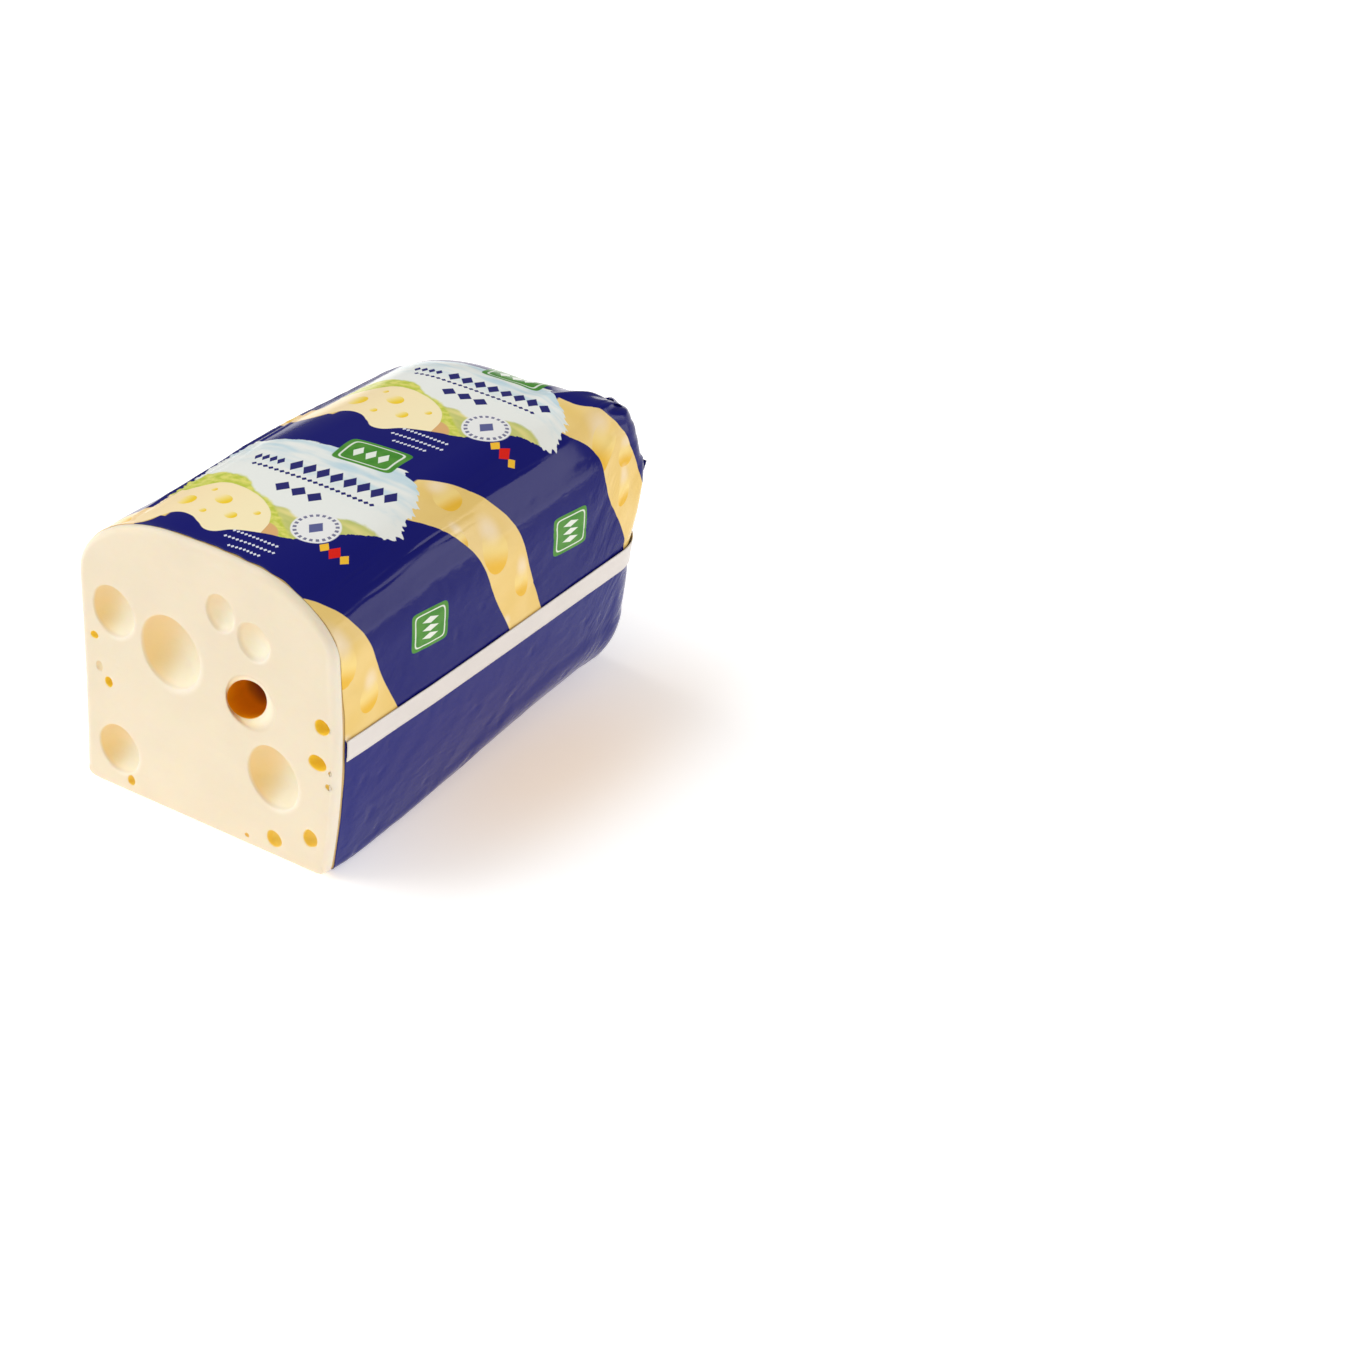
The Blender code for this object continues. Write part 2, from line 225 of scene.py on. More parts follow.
def corner(centre_x, centre_z, radii, start_degrees, steps, fullness):
    """A quarter of a (super)ellipse, counter-clockwise as seen from the cut face."""
    turn = np.radians(start_degrees + 90 * np.arange(steps + 1) / steps)
    c, s = np.cos(turn), np.sin(turn)
    power = 2 / fullness
    return np.column_stack((centre_x + radii[0] * np.copysign(np.abs(c) ** power, c),
                            centre_z + radii[1] * np.copysign(np.abs(s) ** power, s)))


def half_section(wall, foot, top, bottom, shoulder, fullness, steps):
    """The right half of an outline: floor, bottom corner, bowed wall and shoulder."""
    def bowed(z):
        return wall - (wall - foot) * np.maximum(0.0, 1 - z / WALL_BOW_HEIGHT) ** 2

    low, high = bowed(bottom[1]) - bottom[0], top - shoulder[1]
    shares = np.arange(FLOOR_STEPS) / FLOOR_STEPS
    rises = np.linspace(bottom[1], high, steps + 1)[1:-1]
    return np.vstack((np.column_stack((low * shares, 0 * shares)),
                      corner(low, bottom[1], bottom, -90, BOTTOM_STEPS, ROUND),
                      np.column_stack((bowed(rises), rises)),
                      corner(wall - shoulder[0], high, shoulder, 0, TOP_STEPS, fullness)))


def section(y, drawn=0.0, plain=False):
    """The block's outline (x, z) at the distance y behind the cut face, or plain as in the solid."""
    narrowing, rounding = rise(y, *NARROWING), rise(y, *ROUNDING)
    settling = mix(narrowing, rise(y, *SETTLING), SETTLED_SHARE)
    held = ease(y / SWELL_LENGTH)
    front = 0.0 if plain else 1 - ease(y / FRONT_LENGTH)
    top = mix(HEIGHT, REAR_HEIGHT, narrowing) - SWELL_TOP * held - FRONT_LOWER * front

    wall = mix(RIGHT_WALL, REAR_RIGHT_WALL, narrowing) - FRONT_RIGHT_IN * front
    foot, bottom = mix(RIGHT_FOOT, REAR_RIGHT_FOOT, rounding), mix(*BOTTOM_RIGHT, rounding)
    shoulder = mix(mix(mix(*TOP_RIGHT, narrowing), FRONT_TOP_RIGHT, front), DRAWN_CORNER, drawn)
    fullness = mix(mix(TOP_RIGHT_FULLNESS, FRONT_FULLNESS, front), DRAWN_FULLNESS, drawn)
    right = half_section(wall, foot, top, bottom, shoulder, fullness, RIGHT_STEPS)

    wall = mix(LEFT_WALL, REAR_LEFT_WALL, narrowing) + FRONT_LEFT_OUT * front - SWELL_LEFT * held
    foot, bottom = mix(LEFT_FOOT, REAR_LEFT_FOOT, rounding), mix(*BOTTOM_LEFT, rounding)
    shoulder = mix(TOP_LEFT[0], TOP_LEFT[1] if plain else FULLER_REAR_LEFT, settling)
    shoulder = mix(shoulder, FRONT_TOP_LEFT, front)
    left = half_section(wall, foot, top, bottom, shoulder, ROUND, LEFT_STEPS) * (-1, 1)

    shares = np.arange(1, CROWN_STEPS) / CROWN_STEPS
    crown = np.column_stack((mix(right[-1, 0], left[-1, 0], shares), top + CROWN * np.sin(pi * shares)))
    return np.vstack((right, crown, left[:0:-1]))


def placed(x, y, z):
    """Points of the block in the part's own frame, as rows."""
    return np.column_stack((x + SHIFT_X, y + SHIFT_Y, z + FLOOR_TO_CHEESE))


class Outline:
    """The block's outline at one station, read by travel round it from the crown."""

    def __init__(self, y, drawn=0.0, plain=False):
        points = section(y, drawn, plain)
        self.points = np.vstack((points, points[:1]))
        steps = np.hypot(*np.diff(self.points, axis=0).T)
        self.travel = np.concatenate(([0.0], np.cumsum(steps)))
        x, z = self.points.T
        k = next(i for i in range(len(x) - 1) if x[i] > 0 >= x[i + 1] and z[i] > HEIGHT / 2)
        self.crown = self.travel[k] + steps[k] * x[k] / (x[k] - x[k + 1])

    def spot(self, travel):
        travel = travel % self.travel[-1]
        return np.column_stack([np.interp(travel, self.travel, axis) for axis in self.points.T])

    def along(self, travel):
        """Unit steps along the outline at some travel."""
        step = self.spot(travel + NORMAL_REACH) - self.spot(travel - NORMAL_REACH)
        return step / np.linalg.norm(step, axis=1)[:, None]

    def travel_to(self, places):
        """Travel from the crown to the outline's points that are nearest to some places."""
        nearest = np.argmin(np.linalg.norm(places[:, None, :] - self.points[None, :-1, :], axis=2), axis=1)
        travel = self.travel[nearest]
        beyond = np.sum((places - self.points[nearest]) * self.along(travel), axis=1)
        return self.crown - travel - beyond

    def at(self, shares):
        """Places, outward normals and travel from the crown (right positive), for shares of -1 to 1."""
        away = np.where(shares >= 0, shares * self.crown, shares * (self.travel[-1] - self.crown))
        along = self.along(self.crown - away)
        return self.spot(self.crown - away), np.column_stack((along[:, 1], -along[:, 0])), away


def end_radius(places, normals):
    """How far the film's far end is rounded at points of its outline."""
    x, z = places.T
    level = np.interp(x, *END_ROUND_TOP)
    level = np.where(normals[:, 1] > 0, level, END_ROUND_BOTTOM)
    below = DRAWN_HEIGHT - z
    slack = ease(np.where(x > 0, below, np.abs(below)) / DRAWN_SPREAD)
    upright = np.where(x > 0, mix(*END_ROUND_RIGHT, slack), mix(*END_ROUND_LEFT, slack))
    near_top = rise(z, *END_TOP_STRETCH) * (x > 0)
    return mix(upright, level, np.maximum(np.abs(normals[:, 1]) ** END_BLEND, near_top))


def skin_row(outline, shares, y, distance, length):
    """One row of a skin that stands off the block by a distance and rounds off at the far end."""
    places, normals, _ = outline.at(shares)
    radius = end_radius(places, normals)
    turn = np.arcsin(np.clip(1 - (length - y) / radius, 0.0, 1.0))
    out = distance * np.cos(turn) - radius * (1 - np.cos(turn))
    moved = places + normals * out[:, None]
    return placed(moved[:, 0], y + distance * np.sin(turn), moved[:, 1])


def smooth_noise(a, b, seed):
    """Blender's own noise over an array, and another one or a number."""
    return np.array([noise.noise((p, q, seed)) for p, q in zip(a, np.broadcast_to(b, a.shape))])


def spread(stretches):
    """Numbers along stretches, each given as (end, spacing), from the first stretch's start."""
    values = [stretches[0][0]]
    for end, spacing in stretches[1:]:
        count = max(1, round((end - values[-1]) / spacing))
        values += list(np.linspace(values[-1], end, count + 1)[1:])
    return np.array(values)


def add_object(name, made, material):
    """A finished mesh as a new object of the scene."""
    mesh = bpy.data.meshes.new(name)
    made.to_mesh(mesh)
    made.free()
    mesh.materials.append(material)
    added = bpy.data.objects.new(name, mesh)
    bpy.context.scene.collection.objects.link(added)
    return added


def new_piece(name, made, material, replaced, shell=None):
    """A piece that rides on the block and stands for a solid; a shell is its (thickness, offset)."""
    piece = add_object(name, made, material)
    piece.data.shade_smooth()
    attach(piece, "root")
    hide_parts(replaced)
    if shell:
        sheet = piece.modifiers.new("Thickness", "SOLIDIFY")
        sheet.thickness, sheet.offset = shell


def sheet_of(rows, prints=None):
    """A grid shaped to rows of points, with a print map where one is given."""
    made = bmesh.new()
    layer = made.loops.layers.uv.new("print")
    across, along = len(rows[0]) - 1, len(rows) - 1
    bmesh.ops.create_grid(made, x_segments=across, y_segments=along, size=1.0)
    verts = sorted(made.verts, key=lambda v: (round(v.co.y, 6), round(v.co.x, 6)))
    for index, vert in enumerate(verts):
        vert.index = index
    if prints is not None:
        flat = np.vstack(prints)
        for face in made.faces:
            for loop in face.loops:
                loop[layer].uv = flat[loop.vert.index]
    for vert, place in zip(verts, np.vstack(rows)):
        vert.co = place
    return made


class Nodes:
    """Adds nodes to the tree of a material or a world, one short line each."""

    def __init__(self, owner):
        owner.use_nodes = True
        self.tree = owner.node_tree
        self.shader = self.tree.nodes.get("Principled BSDF") or self.tree.nodes["Background"]

    def add(self, kind, *inputs, **settings):
        node = self.tree.nodes.new("ShaderNode" + kind)
        for name, value in settings.items():
            setattr(node, name, value)
        for socket, value in zip(node.inputs, inputs):
            self.put(socket, value)
        return node

    def put(self, socket, value):
        if isinstance(value, bpy.types.NodeSocket):
            self.tree.links.new(value, socket)
        elif value is not None:
            socket.default_value = value

    def math(self, operation, *inputs, clamp=False):
        return self.add("Math", *inputs, operation=operation, use_clamp=clamp).outputs[0]

    def plus(self, a, b):
        return self.math("ADD", a, b)

    def minus(self, a, b, clamp=False):
        return self.math("SUBTRACT", a, b, clamp=clamp)

    def times(self, a, b):
        return self.math("MULTIPLY", a, b)

    def vector(self, operation, *inputs):
        node = self.add("VectorMath", *inputs, operation=operation)
        return node.outputs["Value"] if operation in ("LENGTH", "DOT_PRODUCT") else node.outputs[0]

    def band(self, value, start, end, low=0.0, high=1.0):
        """Low before start and high after end, smoothly between."""
        node = self.add("MapRange", value, start, end, low, high, interpolation_type="SMOOTHSTEP")
        return node.outputs[0]

    def blend(self, share, a, b):
        """Colour a at 0 and b at 1."""
        node = self.add("Mix", data_type="RGBA")
        sockets = {socket.identifier: socket for socket in (*node.inputs, *node.outputs)}
        for name, value in (("Factor_Float", share), ("A_Color", a), ("B_Color", b)):
            if isinstance(value, tuple) and len(value) == 3:
                value = (*value, 1.0)
            self.put(sockets[name], value)
        return sockets["Result_Color"]

    def noise(self, coordinates, scale, detail=2.0, roughness=0.5):
        return self.add("TexNoise", coordinates, None, scale, detail, roughness).outputs[0]

    def stretched(self, coordinates, scale, turn=0.0):
        return self.add("Mapping", coordinates, None, (0.0, 0.0, turn), scale).outputs[0]

    def object_place(self):
        return self.add("TexCoord").outputs["Object"]

    def attribute(self, name):
        return self.add("Attribute", attribute_name=name).outputs["Fac"]

    def bump(self, height, distance, normal=None):
        return self.add("Bump", None, distance, None, height, normal).outputs[0]

    def curve(self, value, points):
        """A smooth curve through points, each (value, result)."""
        (low, high), (least, most) = ((min(axis), max(axis)) for axis in zip(*points))
        node = self.add("FloatCurve", 1.0, self.add("MapRange", value, low, high).outputs[0])
        line = node.mapping.curves[0]
        while len(line.points) < len(points):
            line.points.new(0.5, 0.5)
        for handle, (start, result) in zip(line.points, points):
            handle.location = ((start - low) / (high - low), (result - least) / (most - least))
        node.mapping.update()
        return self.add("MapRange", node.outputs[0], 0.0, 1.0, least, most).outputs[0]

    def local(self, spot, centre, half_sizes=(1.0, 1.0), turn=0.0):
        """Coordinates round a centre, 1 at the half sizes."""
        node = self.add("Mapping", spot, (*centre, 0.0), (0.0, 0.0, radians(turn)), (*half_sizes, 1.0),
                        vector_type="TEXTURE")
        return node.outputs[0]

    def split(self, vector):
        return self.add("SeparateXYZ", vector).outputs[:2]

    def both(self, *masks):
        total = masks[0]
        for mask in masks[1:]:
            total = self.times(total, mask)
        return total

    def oval(self, spot, centre, half_sizes, turn=0.0, soft=0.05):
        """1 inside an ellipse."""
        return self.band(self.vector("LENGTH", self.local(spot, centre, half_sizes, turn)), 1.0, 1.0 - soft)

    def tablet(self, spot, centre, half_sizes, turn, power=9.0, soft=0.18):
        """1 inside a rounded oblong."""
        x, y = self.split(self.vector("ABSOLUTE", self.local(spot, centre, half_sizes, turn)))
        total = self.plus(self.math("POWER", x, power), self.math("POWER", y, power))
        return self.band(total, 1.0 + soft, 1.0 - soft)

    def lozenges(self, spot, start, end, count, height, fill):
        """1 inside each of a row of lozenges between two places."""
        (x0, y0), (x1, y1) = start, end
        length = ((x1 - x0) ** 2 + (y1 - y0) ** 2) ** 0.5
        turn = np.degrees(np.arctan2(y1 - y0, x1 - x0))
        pitch = length / count
        x, y = self.split(self.local(spot, start, turn=float(turn)))
        wave = self.math("PINGPONG", self.plus(x, pitch / 2), pitch / 2)
        slope = self.math("DIVIDE", wave, pitch / 2 * fill)
        slope = self.plus(slope, self.math("DIVIDE", self.math("ABSOLUTE", y), height / 2))
        inside = self.band(slope, 1.06, 0.94)
        return self.both(inside, self.band(x, -0.01, 0.01), self.band(x, length + 0.01, length - 0.01))

    def set(self, name, value):
        if isinstance(value, tuple) and len(value) == 3 and name.endswith("Color"):
            value = (*value, 1.0)
        self.put(self.shader.inputs[name], value)

    def finish(self, colour, roughness, shine):
        for name, value in (("Base Color", colour), ("Roughness", roughness), ("Specular IOR Level", shine)):
            self.set(name, value)


# ---------------------------------------------------------------- the cheese

def eye_ring(centre, radii, size, y, irregular, slant=0.0):
    """Points of one ring of an eye, at the depth y, counter-clockwise as seen from the cut face."""
    count = len(irregular)
    turn = 2 * pi * np.arange(count) / count - radians(slant)
    x, z = (radius * size * irregular * wave for radius, wave in zip(radii, (np.cos(turn), np.sin(turn))))
    c, s = cos(radians(slant)), sin(radians(slant))
    return placed(centre[0] + x * c - z * s, np.full(count, y), centre[1] + x * s + z * c)


def irregular_ring(count, seed, amount):
    """Radii that wander a little from 1."""
    draw = random.Random(seed)
    turn = 2 * pi * np.arange(count) / count
    ring = np.ones(count)
    for wave in (2, 3, 5):
        ring += amount * draw.uniform(0.4, 1.0) / wave * 2 * np.cos(wave * turn + draw.uniform(0, 2 * pi))
    return ring


def ring_edges(made, ring):
    return [made.edges.get(pair) for pair in zip(ring, ring[1:] + ring[:1])]


def next_ring(made, ring, points):
    """Extrudes a closed ring of vertices onto the next ring of points, or starts with a circle."""
    if ring:
        grown = set(bmesh.ops.extrude_edge_only(made, edges=ring_edges(made, ring))["geom"])
        after = [next(edge.other_vert(vert) for edge in vert.link_edges if edge.other_vert(vert) in grown)
                 for vert in ring]
    else:
        after = bmesh.ops.create_circle(made, segments=len(points), radius=1.0)["verts"]
    for vert, point in zip(after, points):
        vert.co = point
    return after


def cap_ring(made, ring):
    """Closes a ring with a fan round its middle."""
    face = bmesh.ops.contextual_create(made, geom=ring_edges(made, ring))["faces"]
    return bmesh.ops.poke(made, faces=face)["verts"][0]


def eye_profile(radius, depth, rings):
    """(share of the opening, depth) from the face down to the bottom of a bubble with a rounded rim."""
    reach = (radius**2 + depth**2) / (2 * depth)
    steepest = asin(min(1.0, radius / reach)) if depth <= radius else pi / 2
    rim = min(EYE_RIM, radius * 0.3)
    profile = [(1 + rim * (1 - sin(turn)) / radius, rim * (1 - cos(turn)))
               for turn in np.linspace(0, steepest, 5)]
    start_share, start_depth = profile[-1]
    for step in range(1, rings + 1):
        turn = steepest * (1 - step / rings)
        share = sin(turn) / sin(steepest)
        fall = (cos(turn) - cos(steepest)) / (1 - cos(steepest))
        profile.append((start_share * share, mix(start_depth, depth, fall)))
    return profile[:-1], profile[-1][1]


def make_eye(made, tone, dusk, name, size):
    """Makes one bubble and returns the ring that the cut face is filled round."""
    x, z, across, upward, depth, painted_shade = size
    wide = across > WIDE_EYE
    count, rings, wandering, full_depth = WIDE_MAKING if wide else SMALL_MAKING
    irregular = irregular_ring(count, name, wandering)
    draw = random.Random(name + " bottom")
    lean_x = draw.uniform(-0.16, -0.04) * across
    lean_z = draw.uniform(-0.02, 0.10) * upward
    profile, bottom = eye_profile((across + upward) / 2, depth, rings)
    ring = first = None
    for share, fall in profile:
        inward = max(0.0, 1 - share)
        centre = (x + lean_x * inward, z + lean_z * inward)
        shape = mix(1.0, irregular, min(1.0, share))
        ring = next_ring(made, ring, eye_ring(centre, (across, upward), share, fall, shape))
        first = first or ring
        # Painted shade: each ring takes the eye's share, growing with depth and strongest on the eye's left
        # side, and a dusk share near its top.
        started = ease(fall / full_depth)
        for step, vert in enumerate(ring):
            turn = 2 * pi * step / count
            vert[tone] = painted_shade * started * shaded_side(share * cos(turn), share * sin(turn), wide)
            vert[dusk] = started * dusk_share(share * sin(turn))
    middle = cap_ring(made, ring)
    middle.co = placed(x + lean_x, bottom, z + lean_z)[0]
    middle[tone] = painted_shade * shaded_side(0, 0, wide)
    middle[dusk] = dusk_share(0)
    return first


def shaded_side(right, up, wide=True):
    """How deep an eye's painted shade is at a place in its opening: full at the left, none at the right."""
    return ease(0.48 - 0.66 * right + 0.16 * up) if wide else ease(0.95 - 0.25 * right)


def dusk_share(up):
    """How far the top of an eye lies in its own shade."""
    return ease(0.36 + 0.75 * up)


def make_deep_eye(made, tone):
    """The shallow mouth and the hole in it, which widens behind its rim."""
    count = WIDE_MAKING[0]
    mouth_shape = irregular_ring(count, "mouth", WIDE_MAKING[2])
    hole_shape = irregular_ring(count, "hole", HOLE_WANDERING)
    ring = first = None
    for towards_hole, size, fall, painted_shade in DEEP_RINGS:
        x, z, *radii = mix(MOUTH, HOLE, towards_hole)
        shape = mix(mouth_shape, hole_shape, towards_hole)
        ring = next_ring(made, ring, eye_ring((x, z), radii, size, fall, shape, HOLE_SLANT))
        first = first or ring
        # Painted shade on each ring, more on the shaded side of the mouth; the bottom of the hole is darkest.
        for step, vert in enumerate(ring):
            turn = 2 * pi * step / count - radians(HOLE_SLANT)
            side = shaded_side(cos(turn), sin(turn)) if 0 < towards_hole < 1 else 0.0
            vert[tone] = painted_shade + MOUTH_SHADE * side * ease(towards_hole * 4)
    middle = cap_ring(made, ring)
    middle.co = placed(HOLE[0], HOLE_DEPTH, HOLE[1])[0]
    middle[tone] = HOLE_SHADE
    return first


# Distances behind the cut face at which the cheese has a ring of vertices.
CHEESE_STATIONS = (0.0032, 0.0037, 0.0043, 0.0052, 0.0066, 0.0085, 0.0110, 0.0140, 0.030, 0.050, 0.070,
                   0.090, 0.110, 0.125, 0.135, 0.143, 0.149, 0.153, 0.157, 0.160)
ROOM_STRETCH, REAR_ROOM_STRETCH = (0.0043, 0.009), (0.110, 0.030)
FACE_CUTS = 0.0045


def make_cheese_mesh():
    made = bmesh.new()
    # Vertex layers: painted shade inside the eyes, the face's rim rows, and painted dusk shade at the eyes'
    # tops.
    tone, rim, dusk = (made.verts.layers.float.new(name) for name in ("painted_shade", "rim", "dusk"))
    shares = spread([(-1.0, None), (-0.74, 0.012), (0.72, 0.0058), (1.0, 0.012)])[:-1]

    def block_row(y, distance, length=CHEESE_LENGTH):
        return skin_row(Outline(y), shares, y, distance, length)

    foot = ease(-1.5 * Outline(0.0).at(shares)[1][:, 1])
    rounding = EDGE_ROUND * mix(1.0, FOOT_ROUND, foot)
    ring = next_ring(made, None, block_row(0.0, -rounding))
    loops = ring_edges(made, ring)
    for name, size in EYES.items():
        loops += ring_edges(made, make_eye(made, tone, dusk, name, size))
    loops += ring_edges(made, make_deep_eye(made, tone))
    bmesh.ops.triangle_fill(made, use_beauty=True, use_dissolve=False, edges=loops, normal=(0, -1, 0))
    for turn in np.linspace(0, pi / 2, 9)[1:]:
        y = EDGE_ROUND * (1 - cos(turn))
        ring = next_ring(made, ring, block_row(y, -rounding * (1 - sin(turn))))
        for vert in ring:
            vert[rim] = sin(turn) ** 0.5
    for y in CHEESE_STATIONS:
        room = CHEESE_ROOM * rise(y, *ROOM_STRETCH) + REAR_ROOM * rise(y, *REAR_ROOM_STRETCH)
        ring = next_ring(made, ring, block_row(y, -room, CHEESE_LENGTH - CHEESE_ROOM))
        for vert in ring:
            vert[rim] = 2.0
    cap_ring(made, ring)
    # Cuts across the face give it enough vertices to be shaped.
    for axis, low, high in ((0, -0.057, 0.057), (2, 0.003, 0.112)):
        for place in np.arange(low, high, FACE_CUTS):
            flat = [f for f in made.faces if all(v.co.y < SHIFT_Y + 1e-6 for v in f.verts)]
            geom = flat + list({e for f in flat for e in f.edges}) + list({v for f in flat for v in f.verts})
            point, normal = Vector((0, 0, 0)), Vector((0, 0, 0))
            point[axis], normal[axis] = place, 1.0
            bmesh.ops.bisect_plane(made, geom=geom, plane_co=point, plane_no=normal, dist=1e-5)
    bmesh.ops.triangulate(made, faces=made.faces)
    bmesh.ops.recalc_face_normals(made, faces=made.faces)
    return made


# Colours of the cheese beside those in its settings: the pale edge and eye-rim colours are painted
# highlights, the pale hollow colour is painted light inside the eyes, and the dusk and deepest colours are
# painted shade.
CLOUD_COLOUR, EDGE_HIGHLIGHT_COLOUR = srgb(231, 218, 192), srgb(250, 243, 230)
EYE_HIGHLIGHT_COLOUR, HIDDEN_COLOUR = srgb(255, 250, 238), srgb(206, 172, 112)
HOLLOW_LIGHT_COLOUR, DUSK_COLOUR = srgb(252, 242, 218), srgb(224, 198, 158)
DEEPEST_SHADE_COLOUR = srgb(146, 72, 12)
CHEESE_ROUGHNESS, CHEESE_SHINE = 0.42, 0.35
# How far red, green and blue light spreads in the cheese, and in metres.
LIGHT_REACH, LIGHT_REACH_SCALE = (1.0, 0.62, 0.30), 0.0018


def eye_highlight(nodes, spot, size):
    """A painted highlight: the pale crescent on the face along an eye's lower right rim."""
    centre, half = (size[0] + SHIFT_X, size[1] + FLOOR_TO_CHEESE), size[2:4]
    local = nodes.local(spot, centre, half)
    reach = nodes.vector("LENGTH", local)
    side = nodes.vector("DOT_PRODUCT", local, (0.72, -0.69, 0.0))
    return nodes.both(nodes.band(reach, 1.22, 1.02), nodes.band(side, 0.35, 0.95), 0.42)


def cheese_material(look):
    material = bpy.data.materials.new("moist_cheese")
    nodes = Nodes(material)
    place = nodes.object_place()
    painted_shade = nodes.attribute("painted_shade")
    x, y, z = nodes.add("SeparateXYZ", place).outputs
    face_spot = nodes.add("CombineXYZ", x, z).outputs[0]
    cloudy = nodes.band(nodes.noise(place, 38.0, 3.0), 0.35, 0.70)
    base = nodes.blend(cloudy, tuple(look.cheese_colour), CLOUD_COLOUR)
    # Painted highlight: the face's rounded rim and its right edge are painted paler, less so towards the top.
    rim = nodes.attribute("rim")
    lit_edge = nodes.math("MAXIMUM", rim, nodes.band(x, 0.0500, 0.0550))
    edge = nodes.math("MULTIPLY_ADD", nodes.band(z, 0.085, 0.108), -0.42, 0.50)
    base = nodes.blend(nodes.both(lit_edge, edge), base, EDGE_HIGHLIGHT_COLOUR)
    # Painted highlight along the lower right rim of each large eye.
    for size in EYES.values():
        if size[2] > WIDE_EYE:
            base = nodes.blend(eye_highlight(nodes, face_spot, size), base, EYE_HIGHLIGHT_COLOUR)
    base = nodes.blend(nodes.band(rim, 1.1, 1.9), base, HIDDEN_COLOUR)
    # Painted light: inside the eyes, from just below their lips, the walls are painted paler than the face.
    hollow_light = nodes.both(nodes.band(y, SHIFT_Y + 0.0004, SHIFT_Y + 0.0018), nodes.band(rim, 0.05, 0.0))
    base = nodes.blend(hollow_light, base, HOLLOW_LIGHT_COLOUR)
    # Painted shade inside the eyes: tan in the large eyes, yellow in the small ones, orange and dark brown in
    # the deep hole, and a duskier top.
    colour = nodes.blend(nodes.band(painted_shade, 0.0, 0.5), base, tuple(look.eye_shade_colour))
    colour = nodes.blend(nodes.both(nodes.attribute("dusk"), 0.62), colour, DUSK_COLOUR)
    for start, end, deeper_shade in ((0.50, 0.78, look.small_eye_shade_colour), (0.85, 1.02, look.deep_eye_shade_colour),
                               (1.2, 1.8, DEEPEST_SHADE_COLOUR)):
        colour = nodes.blend(nodes.band(painted_shade, start, end), colour, tuple(deeper_shade))
    nodes.finish(colour, CHEESE_ROUGHNESS, CHEESE_SHINE)
    soft = nodes.minus(0.45, nodes.both(nodes.band(painted_shade, 0.55, 0.8), 0.40))
    nodes.set("Subsurface Weight", soft)
    nodes.set("Subsurface Radius", LIGHT_REACH)
    nodes.set("Subsurface Scale", LIGHT_REACH_SCALE)
    fine = nodes.noise(place, 900.0, 2.0, 0.6)
    wide = nodes.noise(nodes.stretched(place, (1.0, 1.0, 2.4)), 90.0, 3.0)
    nodes.set("Normal", nodes.bump(fine, 0.00004, nodes.bump(wide, 0.00035)))
    return material


# ---------------------------------------------------------------- the film

def film_columns():
    """Shares of the way round at which the film has vertices, close together at its creases."""
    half = 0.2
    right = spread([(0.0, None), (0.041, 0.0012), (0.056, 0.0005), (0.062, 0.0008), (0.110, 0.0012),
                    (0.152, 0.0014), (half, 0.004)])
    left = spread([(0.0, None), (0.029, 0.0013), (0.044, 0.0008), (0.150, 0.0025), (half, 0.004)])
    return np.concatenate((-left[::-1], right[1:])) / half


def film_stations():
    return spread([(FILM_START, None), (0.0034, 0.0004), (0.1300, 0.00125), (0.1560, 0.0011),
                   (0.1615, 0.0008), (0.1640, 0.0005), (FILM_REACH, 0.0002)])


SHOULDER_ROUND = 0.030
SEAM_TRAVEL = 0.0965
# Flats lie between these distances from the crown, near the cut face and towards the far end.
FRONT_FOLDS = (0.0390, 0.0449, 0.0508, 0.0536, 0.0620)
REAR_FOLDS = (0.0400, 0.0484, 0.0620)
# Fine lines along the shoulder: distance from the crown and share of the depth.
FRONT_LINES = ((0.0423, 0.70), (0.0449, 1.50), (0.0472, 1.00), (0.0508, 1.90), (0.0536, 1.60), (0.0572, 0.60))
REAR_LINES = ((0.0440, 0.60), (0.0484, 1.5))
LINE_DEPTH, LINE_WIDTH = 0.00022, 0.0005
WAVE_HEIGHT, EVEN_SINKING = 0.00018, 0.00012
CRUMPLE_HEIGHT, SLANT_DEPTH, DENT_DEPTH = 0.00009, 0.00020, 0.00030
# Pleats on the left shoulder: distance from the crown, height and width.
PLEATS = ((-0.0375, 0.0008, 0.0009), (-0.0330, 0.0005, 0.0008))
PUFF_SINKING, REAR_PUFF = 0.0002, 0.0005
FOLD_DEPTH, FOLD_HEIGHT = 0.0007, 0.0005
PULL_HEIGHT = 0.00032


def flats(away, folds, strength):
    """How deep the flats between lengthwise folds lie under the round of the shoulder."""
    depth = 0 * away
    for low, high in zip(folds, folds[1:]):
        share = (away - low) / (high - low)
        depth += (high - low) ** 2 / (8 * SHOULDER_ROUND) * np.clip(4 * share * (1 - share), 0.0, None)
    return depth * strength


def sway(y, length, seed, share=0.0):
    """How something that runs along the block wanders, by Blender's own noise."""
    return noise.noise((y / length, share, seed))


